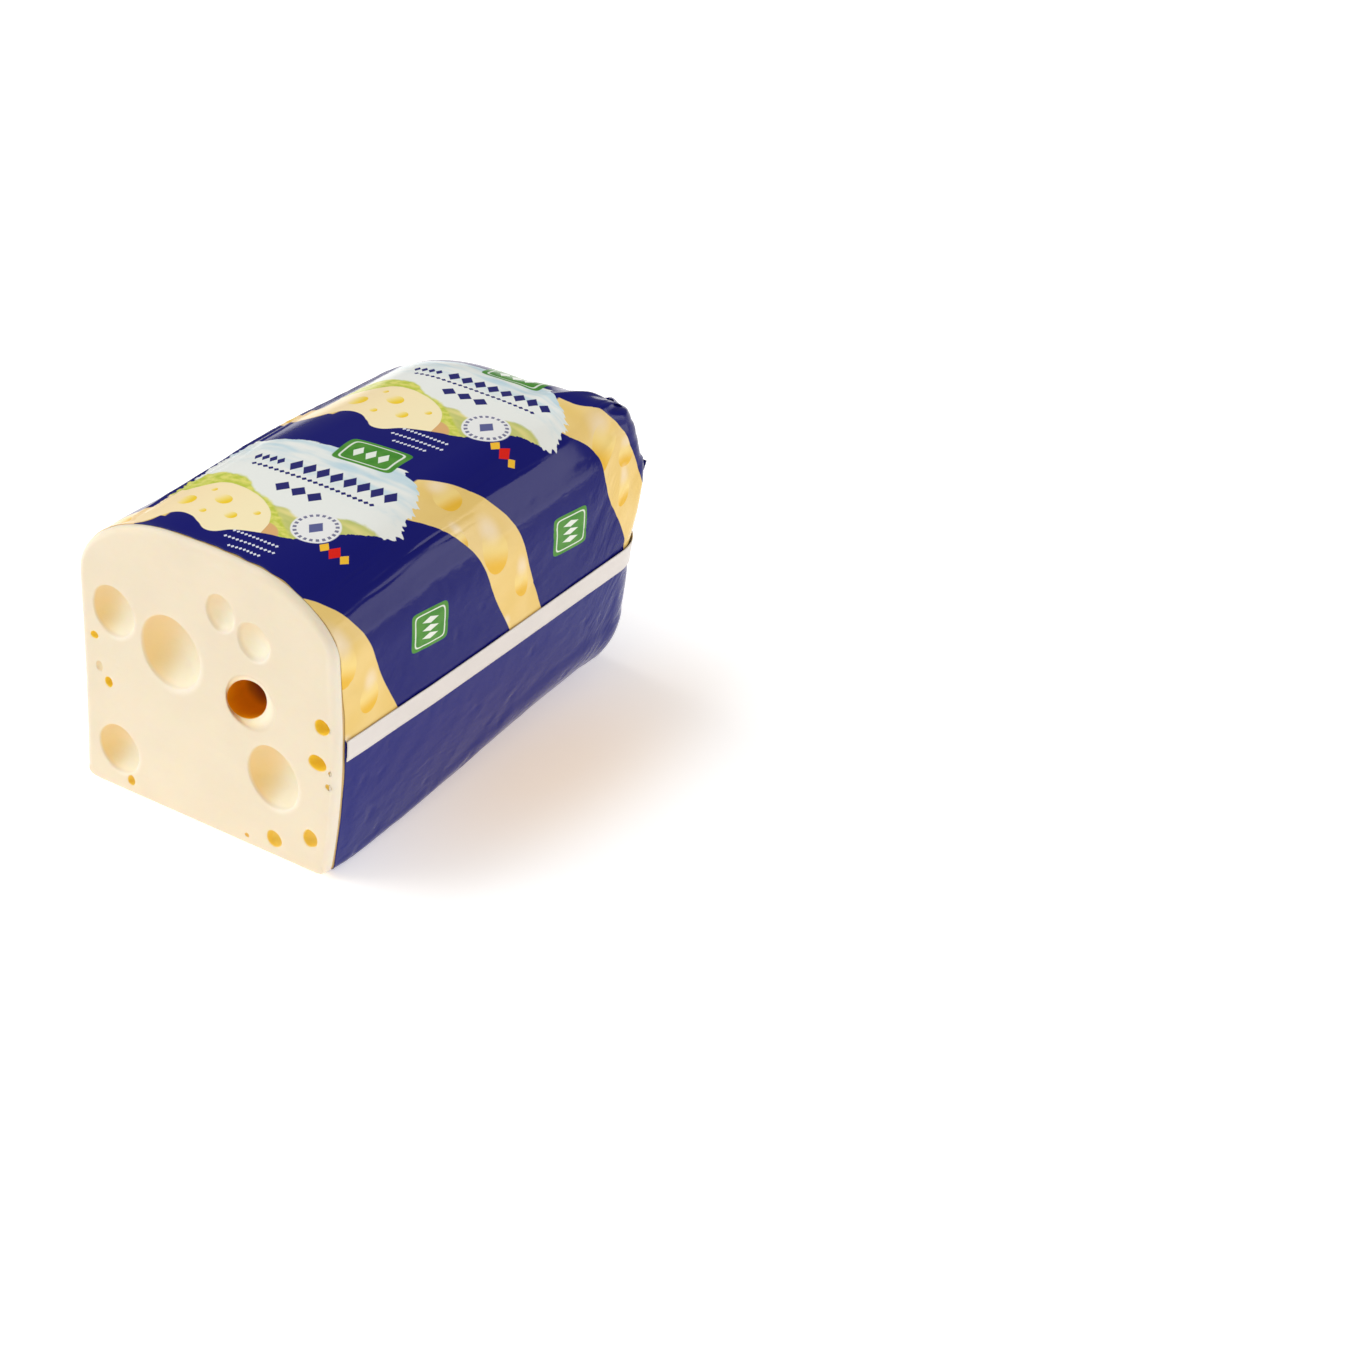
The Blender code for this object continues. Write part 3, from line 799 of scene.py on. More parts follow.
def film_relief(away, y, look):
    """How far the film stands above (or, below 0, under) its even surface, in metres."""
    relief = WAVE_HEIGHT * smooth_noise(away / 0.030, y / 0.050, 3.1) - EVEN_SINKING
    # Flats along the right shoulder, where the film is drawn over the round.
    folded = away - (0.0012 * sway(y, 0.035, 7.7) + 0.0003 * sway(y, 0.009, 9.2))
    rear, held = rise(y, 0.066, 0.020), rise(y, FILM_START, 0.006)
    relief -= held * mix(flats(folded, FRONT_FOLDS, 1.35), flats(folded, REAR_FOLDS, 1.0), rear)
    for lines, share in ((FRONT_LINES, 1 - rear), (REAR_LINES, rear)):
        for where, depth in lines:
            fade = max(0.0, 0.5 + 1.2 * sway(y, 0.020, 8.1, where * 700))
            line = bump_at(folded - 0.0005 * sway(y, 0.016, 3.7, where * 900), where, LINE_WIDTH)
            relief -= held * share * depth * fade * LINE_DEPTH * line
    # Crumpling on the walls, finest on the slant, and scattered dents.
    wall = rise(np.abs(away), 0.052, 0.020)
    slant_a, slant_b = away * 0.80 + y * 0.60, y * 0.80 - away * 0.60
    crumple = 1 - 2 * np.abs(smooth_noise(slant_a / 0.0050, slant_b / 0.014, 5.5))
    relief += wall * CRUMPLE_HEIGHT * (crumple - 0.7)
    relief -= wall * SLANT_DEPTH * np.abs(smooth_noise(slant_a / 0.012, slant_b / 0.026, 8.3))
    relief -= wall * DENT_DEPTH * rise(smooth_noise(slant_a / 0.0036, slant_b / 0.0062, 12.9), 0.36, 0.20)
    # The left shoulder stands off the cheese, with two pleats along it.
    puffed = rise(y, 0.006, 0.018) - rise(y, 0.135, 0.020)
    relief -= PUFF_SINKING * puffed * bump_at(away, -0.038, 0.013)
    for where, height, width in PLEATS:
        where += 0.0016 * sin(y * 38) + 0.0006 * sway(y, 0.012, 4.1)
        relief += puffed * height * bump_at(away, where, width)
    relief += REAR_PUFF * rise(y, 0.118, 0.020) * bump_at(away, -0.022, 0.014)
    # A soft fold runs from the top's far end towards its right-hand corner.
    fold, drift = rise(y, 0.132, 0.016), 0.6 * (y - 0.140)
    relief -= FOLD_DEPTH * fold * bump_at(away, 0.022 + drift, 0.0045)
    relief += FOLD_HEIGHT * fold * bump_at(away, 0.030 + drift, 0.0022)
    # Pull lines towards the end seal.
    turn = np.arctan2(away - 0.060, 0.176 - y)
    lines = np.abs(np.sin(turn * 8 + 1.5 * smooth_noise(turn * 3, y / 0.02, 2.2)))
    relief += rise(y, 0.108, 0.040) * PULL_HEIGHT * (lines - 0.85)
    relief *= 1 - 0.75 * bump_at(away, SEAM_TRAVEL, 0.007)
    return relief * look.wrinkle_depth


# How much film has been gathered (second row) up to a distance from the cut face (first row).
GATHERING = ((0.090, 0.096, 0.104, 0.110, 0.130, 0.1335, 0.144, 0.160, 0.166),
             (0.0, 0.0012, 0.0056, 0.0067, 0.0067, 0.0089, 0.0203, 0.0288, 0.0320))


# Each (start, run) is a stretch along the block, or across it from the crown.
GATHERED_STRETCH, FRONT_STRETCH, FRONT_WALL = (0.132, 0.010), (0.010, 0.026), (0.046, 0.018)
SIDE_SHIFT, SIDE_STRETCH = 0.006, (0.036, 0.022)
TOP_PULLED, TOP_LOOSE, TOP_STRETCH = 0.010, 0.0015, (0.120, 0.032)
WALL_LAG, LAG_STRETCH = 0.006, (0.050, 0.018)
LOW_SLACK, LOW_SLACK_LENGTH, LOW_WALL = 0.004, 0.025, (0.078, 0.020)
TOP_ASIDE, ASIDE_STRETCH, ASIDE_ACROSS = 0.0045, (0.075, 0.025), (0.045, 0.025)
END_ASIDE, END_STRETCH, END_ACROSS = 0.0185, (0.132, 0.022), (0.042, 0.024)
SHOULDER_GATHERED, FRONT_ASIDE, FRONT_BACK = 0.0055, 0.0056, 0.0032


def print_place(away, y):
    """Where a point of the film is on its flat print (across, along): the wrap's far end is gathered."""
    gathered = rise(y, *GATHERED_STRETCH)
    front = (1 - rise(y, *FRONT_STRETCH)) * rise(away, *FRONT_WALL)
    side = rise(away + SIDE_SHIFT * gathered, *SIDE_STRETCH)
    tight = TOP_PULLED * rise(y, *TOP_STRETCH) - TOP_LOOSE * bump_at(y, 0.112, 0.012)
    slack = np.interp(y - WALL_LAG * (1 - rise(away, *LAG_STRETCH)), *GATHERING)
    slack += LOW_SLACK * (1 - ease(y / LOW_SLACK_LENGTH)) * rise(away, *LOW_WALL) - FRONT_BACK * front
    along = y + mix(tight, slack, side) + SHOULDER_GATHERED * gathered * bump_at(away, 0.041, 0.007)
    drift = TOP_ASIDE * rise(y, *ASIDE_STRETCH) * (1 - rise(away, *ASIDE_ACROSS))
    drift += FRONT_ASIDE * front - END_ASIDE * rise(y, *END_STRETCH) * rise(away, *END_ACROSS)
    return np.column_stack((away - drift, along))


def joined(row):
    """A row whose two ends meet under the block."""
    row[0] = row[-1] = (row[0] + row[-1]) / 2
    return row


def make_film_mesh(look):
    shares = film_columns()
    rows, prints = [], []
    for y in film_stations():
        outline = Outline(y, rise(y, *DRAWN_CORNER_STRETCH))
        places, _, away = outline.at(shares)
        distance = mix(FILM_EDGE_OUT, FILM_OUT, rise(y, FILM_START, 0.008)) + film_relief(away, y, look)
        row = skin_row(outline, shares, y, distance, FILM_REACH)
        set_back = FILM_SET_BACK * rise(np.abs(away), 0.070, 0.020)
        set_back += EDGE_WANDER * smooth_noise(away / 0.009, y, 3.3)
        frayed = 1 + 0.8 * smooth_noise(away / 0.005, y, 6.3)
        set_back += CROWN_SET_BACK * bump_at(away, 0.012, 0.034) * frayed
        row[:, 1] += set_back * (1 - rise(y, FILM_START, 0.012))
        row[:, 2] = np.maximum(row[:, 2], 0.0)
        rows.append(joined(row))
        prints.append(print_place(Outline(y, plain=True).travel_to(places), y))
    ring, flat = rows[-1].copy(), prints[-1]
    seal_z = SEAL_HIGH - SLIT_UNDER_TOP + FLOOR_TO_CHEESE
    target_x = np.clip(ring[:, 0], SLIT_INSET - SEAL_LEFT, SEAL_RIGHT - SLIT_INSET)
    side = (ring[:, 2] > seal_z) * 2.0 - 1.0
    target = np.column_stack((target_x, ring[:, 1], seal_z + SEAL_SLIT * side))
    reach = np.linalg.norm(target - ring, axis=1)
    for share in np.linspace(0, 1, 22)[1:]:
        row = mix(ring, target, share)
        row[:, 1] += end_relief(row[:, 0], row[:, 2], share) * look.wrinkle_depth
        rows.append(joined(row))
        prints.append(flat + np.column_stack((0 * reach, reach * share)))
    made = sheet_of(rows, prints)
    bmesh.ops.remove_doubles(made, verts=made.verts, dist=1e-6)
    closing = [e for e in made.edges if e.is_boundary and e.verts[0].co.y > 0]
    bmesh.ops.holes_fill(made, edges=closing, sides=0)
    bmesh.ops.triangulate(made, faces=[f for f in made.faces if len(f.verts) > 4])
    bmesh.ops.recalc_face_normals(made, faces=made.faces)
    return made


END_SAG, END_CREASES, END_SINKING = 0.0011, 0.00025, 0.0001


def end_relief(x, z, share):
    """The folded far end: flaps laid over each other, and slack between them."""
    sag = END_SAG * sin(pi * share) * (0.7 + 0.5 * smooth_noise(x / 0.02, z / 0.02, 1.7))
    fine = END_CREASES * np.abs(smooth_noise(x / 0.006, z / 0.010, 4.4))
    return -sag - fine - END_SINKING


# The film's print, in millimetres on the flat film: across from the crown (right positive) and along.
REPEAT = 82.0
PRINT_SOFT = 0.2
BAND_FROM, PANEL_FROM = -40.0, 4.5
BAND_FAR = ((24, -14), (33.6, -5.4), (50, 8.2), (63, 14.3), (80, 20.2), (98, 28.6), (112, 35))
BAND_NEAR = ((24, -38), (36, -30), (42, -25), (50, -17.2), (64, -8), (82, -1.8), (97, 5.2), (112, 12))
BAND_OVALS = (
    ((42.0, -6.5), (5.2, 5.6), 10), ((55.8, -12.2), (4.0, 2.6), 25), ((66.0, 0.8), (8.2, 6.3), 0),
    ((83.0, 13.6), (6.0, 4.6), 15), ((97.0, 3.5), (3.0, 3.0), 0),
)
BAND_LIMIT, LEFT_LIMIT = (30.0, 31.0), (-23.0, -24.0)
# The last band is gathered, and its ovals are placed on the whole film instead of on one repeat.
GATHERED_FROM = 140.0
GATHERED_OVALS = (((59.5, 161.2), (11.4, 11.0), -32), ((77.5, 178.6), (7.2, 6.5), 0),
                  ((92.6, 175.6), (5.6, 5.0), 0))
# The band over the left shoulder: its edges, and its ovals.
LEFT_NEAR = ((-150, -26), (-110, -22), (-75, -13), (-52, -2), (-33.3, 2.6), (-25.6, 9.6))
LEFT_FAR = ((-150, -26), (-110, -16), (-75, -2), (-45, 10), (-32, 17.5), (-24, 24))
LEFT_OVALS = (((-42.0, 7.0), (5.0, 2.6), -20), ((-66.0, -9.0), (7.0, 4.8), -30),
              ((-88.0, -14.5), (4.0, 3.0), 0))
PANEL_NEAR = ((-48, 1), (-33.3, 2.6), (-29, 6), (-25.6, 9.6), (-21, 13.6), (-15.9, 13.7), (-11, 11.6),
              (-5.1, 9.2), (2, 14), (12, 18.2), (20, 21), (27, 29), (36, 37.5), (46, 47))
PANEL_FAR = ((-48, 62), (-26, 68.3), (-6, 73.2), (14, 74.8), (33.6, 76.6), (46, 77))
PANEL_RIGHT = ((4, 33.5), (29, 36), (38, 41), (46, 44.5), (53, 43.5), (58, 41), (66, 37), (73, 29), (84, 20))
CREAM_TOP = ((-48, 19), (-38, 23), (-27, 31), (-17, 36.2), (-8, 35.5), (2, 31.5), (9, 24), (13, 12), (46, 0))
LEAF_TOP = ((-48, 30), (-36, 36), (-27, 41.8), (-17, 42), (-8, 37), (2, 33.5), (12, 27), (22, 21), (46, 14))
HILL_TOP = ((-48, 12), (-8, 24), (0, 31), (8, 33.5), (16, 31.5), (24, 38), (32, 41.5), (46, 42))
CREAM_SPOTS = (
    ((-24.5, 21.5), (3.6, 3.2), 20), ((-13.0, 27.0), (3.4, 2.8), -10), ((-4.5, 20.5), (2.4, 2.0), 0),
    ((-20.0, 30.5), (1.3, 1.1), 0), ((2.0, 26.0), (1.5, 1.2), 0), ((-14.5, 18.0), (1.5, 1.2), 0),
)
# Rows of lozenges: start, end, how many, height.
INK_ROWS = (((-9.5, 56.6), (33.5, 59.8), 8, 7.6), ((-23.5, 55.2), (-11.5, 56.4), 4, 4.6),
            ((-21.0, 50.6), (30.0, 52.2), 22, 2.1), ((-5.0, 43.4), (14.5, 44.4), 3, 6.6))
PALE_ROWS = (((2.0, 13.9), (20.5, 15.0), 12, 1.5), ((1.5, 9.6), (22.0, 11.4), 13, 1.5),
             ((6.0, 5.9), (19.0, 7.4), 9, 1.5))
AMBER_ROWS = (((29.6, 24.4), (42.0, 25.8), 3, 4.8),)
RED_ROWS = (((33.2, 24.8), (38.4, 25.4), 1, 6.6),)
DISC, DISC_HALF = (23.1, 30.7), (8.7, 8.6)
DISC_LOZENGE = 3.3
# Labels on the crown and on the right wall: centre, half sizes, turn; and the edges of their inner line.
LABEL_LINE = (0.84, 0.78)
LABELS = (((9.0, 76.1), (11.7, 7.2), 7.0), ((76.6, 46.4), (6.9, 9.3), -6.5))
AMBER, PALE_AMBER = srgb(240, 190, 62), srgb(250, 222, 140)


def wrapped(nodes, spot, start):
    """The place within one repeat of the print, from a start along the film."""
    across, along = nodes.split(spot)
    along = nodes.math("WRAP", along, start + REPEAT, start)
    return nodes.add("CombineXYZ", across, along).outputs[0], across, along


def shaded_oval(nodes, colour, spot, oval, dark, light):
    """A hole as it is printed: dark along its right-hand side and fading out at its left."""
    centre, half_sizes, turn = oval
    x, y = nodes.split(nodes.local(spot, centre, half_sizes, turn))
    side = nodes.minus(x, nodes.times(y, 0.25))
    inside = nodes.oval(spot, centre, half_sizes, turn)
    tone = nodes.blend(nodes.band(side, -0.2, 0.75), light, dark)
    return nodes.blend(nodes.both(inside, nodes.band(side, -1.1, 0.15)), colour, tone)


def spotted(nodes, colour, place, ovals):
    """A band with its printed holes, each with a pale glow at its left."""
    for oval in ovals:
        (x, y), (wide, long), turn = oval
        glow = nodes.oval(place, (x - wide * 0.9, y + 0.5), (wide * 1.1, long), turn, 0.9)
        colour = nodes.blend(nodes.both(glow, 0.55), colour, srgb(252, 236, 214))
        colour = shaded_oval(nodes, colour, place, oval, AMBER, PALE_AMBER)
    return colour


def band_inside(nodes, across, along, near, far, limit):
    """1 between the near and the far edge of a band, on one side of a limit across."""
    return nodes.both(nodes.band(nodes.minus(along, nodes.curve(across, near)), -PRINT_SOFT, PRINT_SOFT),
                      nodes.band(nodes.minus(nodes.curve(across, far), along), -PRINT_SOFT, PRINT_SOFT),
                      nodes.band(across, *limit))


def print_bands(nodes, colour, spot, look):
    """The broad cheese-coloured bands that cross the shoulders."""
    place, across, along = wrapped(nodes, spot, BAND_FROM)
    cloudy = nodes.band(nodes.noise(place, 0.05, 1.0), 0.3, 0.7)
    plain = nodes.blend(cloudy, tuple(look.band_colour), srgb(244, 213, 140))
    rear = nodes.band(nodes.split(spot)[1], GATHERED_FROM - 1, GATHERED_FROM + 1)
    gathered = spotted(nodes, plain, spot, GATHERED_OVALS)
    band = nodes.blend(rear, spotted(nodes, plain, place, BAND_OVALS), gathered)
    return nodes.blend(band_inside(nodes, across, along, BAND_NEAR, BAND_FAR, BAND_LIMIT), colour, band)


def print_left_band(nodes, colour, spot, look):
    """The band that comes over the left shoulder into the picture panel and tapers off down the wall."""
    place, across, along = wrapped(nodes, spot, BAND_FROM)
    band = nodes.blend(nodes.band(across, -34.0, -26.0), srgb(250, 217, 160), tuple(look.band_colour))
    for oval in LEFT_OVALS:
        band = shaded_oval(nodes, band, place, oval, AMBER, PALE_AMBER)
    return nodes.blend(band_inside(nodes, across, along, LEFT_NEAR, LEFT_FAR, LEFT_LIMIT), colour, band)


def print_panel(nodes, colour, spot, look):
    """The pale panel with brushed edges, and plain hills and a cream field in it."""
    place, across, along = wrapped(nodes, spot, PANEL_FROM)
    strokes = nodes.noise(nodes.stretched(place, (0.09, 0.26, 1.0), 0.16), 1.0, 2.4, 0.58)
    ragged = nodes.times(nodes.minus(strokes, 0.5), 14.0)
    rough = nodes.noise(nodes.stretched(place, (0.30, 0.45, 1.0)), 1.0, 2.0)
    rough = nodes.times(nodes.minus(rough, 0.5), 3.2)
    wash = nodes.noise(nodes.stretched(place, (0.045, 0.16, 1.0), -0.2), 1.0, 2.0)

    def below(points, soft=0.35, wander=0.0):
        gap = nodes.minus(nodes.curve(across, points), along)
        gap = nodes.plus(gap, nodes.times(rough, wander))
        return nodes.band(gap, -soft, soft)

    near = nodes.minus(along, nodes.curve(across, PANEL_NEAR))
    near = nodes.plus(near, nodes.both(rough, nodes.band(across, 12.0, 26.0), 1.1))
    right = nodes.minus(nodes.curve(along, PANEL_RIGHT), across)
    inside = nodes.both(
        nodes.band(near, -PRINT_SOFT, PRINT_SOFT),
        below(PANEL_FAR, 0.25, 0.7),
        nodes.band(nodes.plus(right, ragged), -0.3, 0.3),
        nodes.band(nodes.plus(across, rough), -35.4, -34.8))
    sky = nodes.both(nodes.band(nodes.plus(along, nodes.times(rough, 4.0)), 47.0, 66.0),
                     nodes.band(wash, 0.36, 0.66))
    inner = nodes.blend(sky, srgb(240, 242, 236), tuple(look.sky_colour))
    hill = nodes.blend(nodes.band(wash, 0.35, 0.65), srgb(232, 222, 144), srgb(188, 197, 112))
    inner = nodes.blend(below(HILL_TOP, 0.8, 0.5), inner, hill)
    leaf = nodes.blend(nodes.band(rough, -0.7, 0.7), srgb(190, 203, 72), srgb(230, 226, 118))
    inner = nodes.blend(below(LEAF_TOP, 0.8, 0.7), inner, leaf)
    cream = nodes.blend(nodes.band(across, -40.0, 6.0), srgb(255, 230, 182), srgb(255, 240, 194))
    for oval in CREAM_SPOTS:
        cream = shaded_oval(nodes, cream, place, oval, srgb(246, 208, 50), srgb(252, 226, 120))
    inner = nodes.blend(nodes.oval(place, (10.5, 19.5), (6.5, 4.5), -20, 0.15), inner, srgb(226, 178, 120))
    inner = nodes.blend(below(CREAM_TOP, 0.25), inner, cream)
    return nodes.blend(inside, colour, inner)


def print_ornament(nodes, colour, spot, look):
    """Plain lozenges on the panel and on the ground below it, and a plain disc."""
    place = wrapped(nodes, spot, PANEL_FROM)[0]
    for rows, fill, tone in ((INK_ROWS, 0.92, tuple(look.ink_colour)), (PALE_ROWS, 0.85, srgb(226, 228, 240)),
                             (AMBER_ROWS, 0.95, srgb(250, 196, 58)), (RED_ROWS, 0.95, srgb(226, 38, 28))):
        for row in rows:
            colour = nodes.blend(nodes.lozenges(place, *row, fill), colour, tone)
    colour = nodes.blend(nodes.oval(place, DISC, DISC_HALF, 0, 0.06), colour, srgb(240, 240, 238))
    local = nodes.local(place, DISC, DISC_HALF)
    reach = nodes.vector("LENGTH", local)
    right, up = nodes.split(local)
    dashes = nodes.math("SINE", nodes.times(nodes.math("ARCTAN2", up, right), 21.0))
    ring = nodes.both(nodes.band(reach, 0.72, 0.75), nodes.band(reach, 0.90, 0.87),
                      nodes.band(dashes, -0.35, 0.1))
    colour = nodes.blend(nodes.both(ring, 0.85), colour, srgb(84, 86, 128))
    ends = [(DISC[0] + side * DISC_LOZENGE, DISC[1]) for side in (-1, 1)]
    return nodes.blend(nodes.lozenges(place, *ends, 1, 7.0, 0.9), colour, srgb(96, 100, 150))


def print_label(nodes, colour, spot, centre, half_sizes, turn, look):
    """A plain green oblong with a pale inner line and three lozenges."""
    place = wrapped(nodes, spot, PANEL_FROM)[0]
    green = nodes.blend(nodes.band(nodes.noise(place, 0.16), 0.35, 0.65), tuple(look.label_colour),
                        srgb(88, 150, 62))
    colour = nodes.blend(nodes.tablet(place, centre, half_sizes, turn), colour, green)
    line = [nodes.tablet(place, centre, [half * share for half in half_sizes], turn)
            for share in LABEL_LINE]
    colour = nodes.blend(nodes.minus(*line, clamp=True), colour, srgb(232, 240, 226))
    along = np.array([cos(radians(turn)), sin(radians(turn))]) * half_sizes[0] * 0.62
    ends = [tuple(float(v) for v in np.array(centre) + sign * along) for sign in (-1, 1)]
    marks = nodes.lozenges(place, *ends, 3, half_sizes[1] * 0.9, 0.8)
    return nodes.blend(marks, colour, srgb(236, 242, 230))


FILM_ROUGHNESS, FILM_SHINE = 0.17, 0.16
# The end's folded flaps: height, and distance of their edge from the middle.
FLAP_EDGE = ((0.0, 0.0470), (0.030, 0.0330), (0.072, 0.0160), (0.082, 0.0160), (0.112, 0.0440))


def film_material(look):
    material = bpy.data.materials.new("printed_film")
    nodes = Nodes(material)
    place = nodes.object_place()
    flat = nodes.add("UVMap", uv_map="print").outputs[0]
    spot = nodes.add("VectorMath", flat, None, None, 1000.0, operation="SCALE").outputs[0]
    ground = tuple(look.ground_colour)
    colour = print_bands(nodes, ground, spot, look)
    x, y, z = nodes.add("SeparateXYZ", place).outputs
    # Painted reflection: on the right, below the seam, the ground is painted lighter and bluer for the white
    # floor that it mirrors.
    below_seam = nodes.both(nodes.band(x, -0.0030, -0.0020), nodes.band(z, SEAM_MIDDLE + 0.0004, SEAM_MIDDLE))
    ground_with_reflection = nodes.blend(nodes.band(x, 0.0, 0.030), ground, tuple(look.reflecting_ground_colour))
    colour = nodes.blend(below_seam, colour, ground_with_reflection)
    for layer in (print_left_band, print_panel, print_ornament):
        colour = layer(nodes, colour, spot, look)
    for label in LABELS:
        colour = print_label(nodes, colour, spot, *label, look)
    on_end = nodes.band(y, END_START, END_START + 0.0010)
    colour = nodes.blend(on_end, colour, ground)
    nodes.finish(colour, FILM_ROUGHNESS, FILM_SHINE)
    fine = nodes.noise(place, 700.0, 2.0)
    creased = nodes.noise(nodes.stretched(spot, (0.26, 0.09, 1.0), 0.35), 1.0, 3.0, 0.6)
    walls = nodes.band(nodes.math("ABSOLUTE", nodes.split(spot)[0]), 50.0, 74.0)
    walls = nodes.minus(walls, on_end, clamp=True)
    bump = nodes.bump(nodes.both(creased, walls), 0.00030)
    flap = nodes.minus(nodes.math("ABSOLUTE", x), nodes.curve(z, FLAP_EDGE))
    bump = nodes.bump(nodes.both(nodes.band(flap, 0.0004, -0.0004), on_end), 0.0009, bump)
    slack = nodes.noise(nodes.stretched(place, (1.0, 1.0, 0.6), 0.3), 70.0, 3.0, 0.6)
    bump = nodes.bump(nodes.both(slack, on_end), 0.0011, bump)
    nodes.set("Normal", nodes.bump(fine, 0.00003, bump))
    return material


# ---------------------------------------------------------------- the seam and the end seal

def plain_film(name, colour, roughness):
    material = bpy.data.materials.new(name)
    nodes = Nodes(material)
    place = nodes.object_place()
    shade = tuple(value * 0.88 for value in colour)
    nodes.finish(nodes.blend(nodes.noise(place, 60.0), tuple(colour), shade), roughness, 0.35)
    nodes.set("Normal", nodes.bump(nodes.noise(place, 500.0, 2.0), 0.00004))
    return material


def make_strip_mesh():
    """The pale lengthwise seam: two layers with a step between them, turned in behind the end."""
    heights = np.linspace(STRIP_LOW, STRIP_HIGH, 15)
    rows = []
    for y in spread([(STRIP_START, None), (0.1500, 0.0012), (0.1615, 0.0008), (FILM_REACH, 0.0004)]):
        outline = Outline(y)
        sunk = STRIP_SINKING * (1 - ease(y / STRIP_SINKING_LENGTH))
        travel = np.interp(heights - sunk, *wall_travel(outline))
        share = (outline.crown - travel) / outline.crown
        step = STRIP_STEP + STRIP_STEP_RISE * rise(y, 0.07, 0.09)
        lift = mix(STRIP_START_LIFT, STRIP_LIFT, rise(y, STRIP_START, 0.010))
        lift = lift + STRIP_STEP_HEIGHT * rise(heights, step, 0.0006)
        lift = lift + 0.00006 * smooth_noise(heights / 0.003, y / 0.012, 6.1)
        rows.append(skin_row(outline, share, y, lift, FILM_REACH))
    last = rows[-1]
    for inward in np.linspace(0, STRIP_TURN_IN, 9)[1:]:
        rows.append(last - np.array([inward, 0, 0]))
    return sheet_of(rows)


def wall_travel(outline):
    """(heights, travel) of the right wall, for reading travel by height."""
    points, travel = outline.points, outline.travel
    keep = (points[:, 0] > 0.02) & (travel < outline.crown) & (points[:, 1] > 0.02) & (points[:, 1] < 0.09)
    return points[keep, 1], travel[keep]


def make_seal_mesh():
    """The crimped fin that closes the film, folded down over the far end."""
    columns = np.linspace(-SEAL_LEFT, SEAL_RIGHT, 133)
    rows = []
    middle, half = (SEAL_RIGHT - SEAL_LEFT) / 2, (SEAL_RIGHT + SEAL_LEFT) / 2
    for share in np.linspace(0, 1, 16):
        z = mix(SEAL_HIGH, SEAL_LOW, share)
        x = middle + (columns - middle) * (half - SEAL_TAPER * share) / half
        teeth = SEAL_TEETH * (np.arange(len(x)) % 2) * (share > 0.99)
        back = FILM_REACH + 2 * GAP + FILM + SEAL_OFF + SEAL_CRIMP * sin(share * 16 * pi)
        rows.append(placed(x, back + SEAL_WAVE * np.sin(columns / 0.009), z + teeth))
    return sheet_of(rows)


def orient(made, direction):
    """Turns an open sheet's faces so that they look along a direction."""
    bmesh.ops.recalc_face_normals(made, faces=made.faces)
    if sum(face.normal.dot(Vector(direction)) for face in made.faces) < 0:
        bmesh.ops.reverse_faces(made, faces=made.faces)
    return made


# ---------------------------------------------------------------- settings and operators

def colour_property(name, description, default):
    return FloatVectorProperty(name=name, description=description, default=default, subtype="COLOR",
                               size=3, min=0.0, max=1.0)


def number_property(name, description, default, **settings):
    return FloatProperty(name=name, description=description, default=default, min=0.0, **settings)


class CheeseLook(bpy.types.PropertyGroup):
    cheese_colour: colour_property("Cheese", "Colour of the cut face", srgb(234, 221, 195))
    # The colours inside the eyes are painted shade.
    eye_shade_colour: colour_property("Large eyes", "Colour inside the large eyes", srgb(244, 209, 126))
    small_eye_shade_colour: colour_property("Small eyes", "Colour inside the small eyes", srgb(250, 216, 72))
    deep_eye_shade_colour: colour_property("Deep eye", "Colour inside the deepest eye", srgb(252, 166, 6))


class FilmLook(bpy.types.PropertyGroup):
    ground_colour: colour_property("Ground", "Colour of the film's ground", (0.0085, 0.0095, 0.156))
    # The ground colour under the seam is a painted reflection of the floor.
    reflecting_ground_colour: colour_property("Low ground", "Colour of the ground under the seam",
                                       (0.020, 0.024, 0.192))
    band_colour: colour_property("Bands", "Colour of the broad bands", srgb(238, 204, 120))
    sky_colour: colour_property("Panel", "Colour of the pale panel's far part", srgb(196, 221, 230))
    label_colour: colour_property("Label", "Colour of the plain labels", srgb(70, 140, 50))
    ink_colour: colour_property("Ink", "Colour of the ornament on the panel", srgb(44, 44, 112))
    wrinkle_depth: number_property("Wrinkles", "Depth of the wrinkles, 1 as drawn", 1.0,
                                   max=1.5, subtype="FACTOR")


class StageLook(bpy.types.PropertyGroup):
    floor_colour: colour_property("Floor", "Colour of the floor", (0.96, 0.935, 0.91))
    floor_glow: number_property("Floor glow", "Light from the lit table", 0.46)
    key_power: number_property("Key light", "Power of the large light", 34.0, unit="POWER")
    rear_power: number_property("Rear light", "Power of the light behind, at the right", 8.0, unit="POWER")
    surround: number_property("Surround", "Brightness of the surround", 0.68)
    screen: number_property("Screens", "Brightness of the dark screens", 0.18)
    surround_colour: colour_property("Surround colour", "Colour of the surround", (1.0, 0.975, 0.95))


class MakeCheese(bpy.types.Operator):
    """Build the cheese with its eyes"""

    bl_idname = "cheese_block.make_cheese"
    bl_label = "Cheese"

    def execute(self, context):
        material = cheese_material(context.scene.cheese_look)
        new_piece("cheese_block", make_cheese_mesh(), material, "cheese")
        return {"FINISHED"}


class MakeFilm(bpy.types.Operator):
    """Build the printed film round the cheese"""

    bl_idname = "cheese_block.make_film"
    bl_label = "Printed film"

    def execute(self, context):
        look = context.scene.film_look
        new_piece("printed_film", make_film_mesh(look), film_material(look), "film_wrap",
                  (FILM_THICK, -1.0))
        return {"FINISHED"}


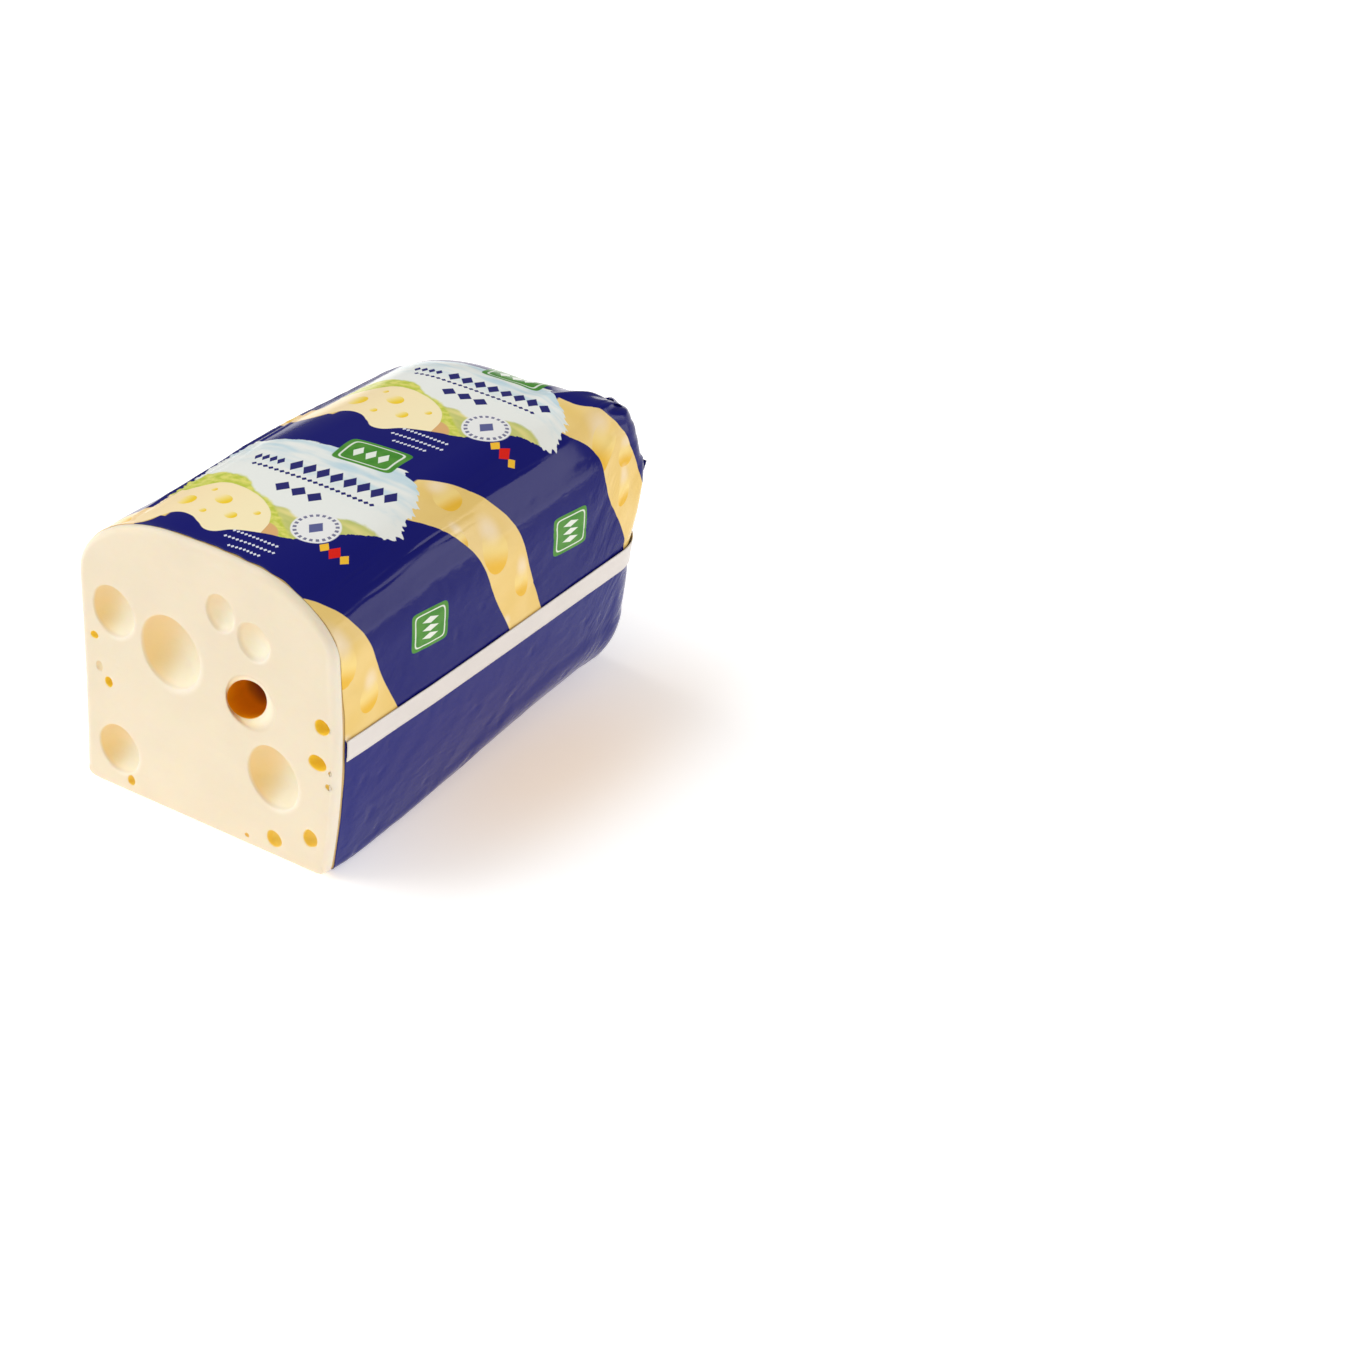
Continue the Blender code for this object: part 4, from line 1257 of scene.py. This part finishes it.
class MakeSeals(bpy.types.Operator):
    """Build the lengthwise seam and the end seal"""

    bl_idname = "cheese_block.make_seals"
    bl_label = "Seam and end seal"

    def execute(self, context):
        pale = plain_film("seam_film", srgb(234, 228, 223), 0.35)
        new_piece("lengthwise_seam", orient(make_strip_mesh(), (1, 0, 0)), pale, "seam_strip",
                  (STRIP_THICK, 1.0))
        dark = plain_film("pressed_film", context.scene.film_look.ground_colour, 0.3)
        new_piece("pressed_end_seal", orient(make_seal_mesh(), (0, 1, 0)), dark, "end_seal",
                  (SEAL_THICK, 1.0))
        return {"FINISHED"}


class MakeStage(bpy.types.Operator):
    """Set up the floor, the light and the camera"""

    bl_idname = "cheese_block.make_stage"
    bl_label = "Stage"

    def execute(self, context):
        look = context.scene.stage_look
        made = bmesh.new()
        bmesh.ops.create_grid(made, x_segments=2, y_segments=2, size=FLOOR_HALF)
        floor = add_object("floor", made, floor_material(look))
        add_light("key_light", *KEY_LIGHT, look.key_power, (0.97, 0.985, 1.0))
        add_light("rear_light", *REAR_LIGHT, look.rear_power, (1.0, 0.97, 0.94))
        context.scene.world = studio_world(look)
        camera = bpy.data.objects.new("camera", bpy.data.cameras.new("camera"))
        camera.location = CAMERA_PLACE
        camera.rotation_euler = [radians(turn) for turn in CAMERA_TURN]
        camera.data.lens = CAMERA_LENS
        camera.data.sensor_width = CAMERA_SENSOR
        camera.data.clip_end = 30.0
        context.scene.collection.objects.link(camera)
        context.scene.camera = camera
        context.scene.view_settings.view_transform = "Standard"
        return {"FINISHED"}


def floor_material(look):
    """The lit table, with a warmer, darker painted shadow where the block shades it."""
    material = bpy.data.materials.new("floor")
    nodes = Nodes(material)
    # Painted shadow: a warm, darker patch of floor at the block's right.
    shaded = nodes.oval(nodes.object_place(), SHADE_CENTRE, SHADE_HALF, 0, 0.95)
    nodes.finish(nodes.blend(shaded, tuple(look.floor_colour), (0.96, 0.81, 0.63)), 0.9, 0.0)
    nodes.set("Emission Color", nodes.blend(shaded, (1.0, 1.0, 1.0), (0.98, 0.83, 0.71)))
    nodes.set("Emission Strength", look.floor_glow)
    return material


def studio_world(look):
    """An even, slightly warm surround with dark screens where the film would mirror them."""
    world = bpy.data.worlds.new("studio")
    nodes = Nodes(world)
    direction = nodes.add("TexCoord").outputs["Generated"]
    strength = look.surround
    for screen, (start, end), dark in SCREENS:
        towards = nodes.vector("DOT_PRODUCT", direction, Vector(screen).normalized())
        strength = nodes.band(towards, start, end, strength, dark * look.screen)
    nodes.set("Color", tuple(look.surround_colour))
    nodes.set("Strength", strength)
    return world


def add_light(name, place, size, power, colour):
    """A square light that looks at the block."""
    data = bpy.data.lights.new(name, "AREA")
    data.size = size
    data.energy = power
    data.color = colour
    light = bpy.data.objects.new(name, data)
    light.location = place
    light.rotation_euler = Vector(place).to_track_quat("Z", "Y").to_euler()
    bpy.context.scene.collection.objects.link(light)


class CheeseBlockPanel(bpy.types.Panel):
    bl_idname = "VIEW3D_PT_cheese_block"
    bl_label = "Emmental block"
    bl_space_type = "VIEW_3D"
    bl_region_type = "UI"
    bl_category = "Cheese"

    def draw(self, context):
        layout = self.layout
        for look in (context.scene.cheese_look, context.scene.film_look, context.scene.stage_look):
            box = layout.box()
            for name in look.__annotations__:
                box.prop(look, name)
        for operator in OPERATORS:
            layout.operator(operator.bl_idname)


OPERATORS = (MakeCheese, MakeFilm, MakeSeals, MakeStage)
LOOKS = {"cheese_look": CheeseLook, "film_look": FilmLook, "stage_look": StageLook}


def register():
    for item in (*LOOKS.values(), *OPERATORS, CheeseBlockPanel):
        bpy.utils.register_class(item)
    for name, look in LOOKS.items():
        setattr(bpy.types.Scene, name, PointerProperty(type=look))


def unregister():
    for name in LOOKS:
        delattr(bpy.types.Scene, name)
    for item in (CheeseBlockPanel, *OPERATORS, *LOOKS.values()):
        bpy.utils.unregister_class(item)


def main():
    register()
    bpy.ops.cheese_block.make_cheese()
    bpy.ops.cheese_block.make_film()
    bpy.ops.cheese_block.make_seals()
    bpy.ops.cheese_block.make_stage()


if __name__ == "__main__":
    main()
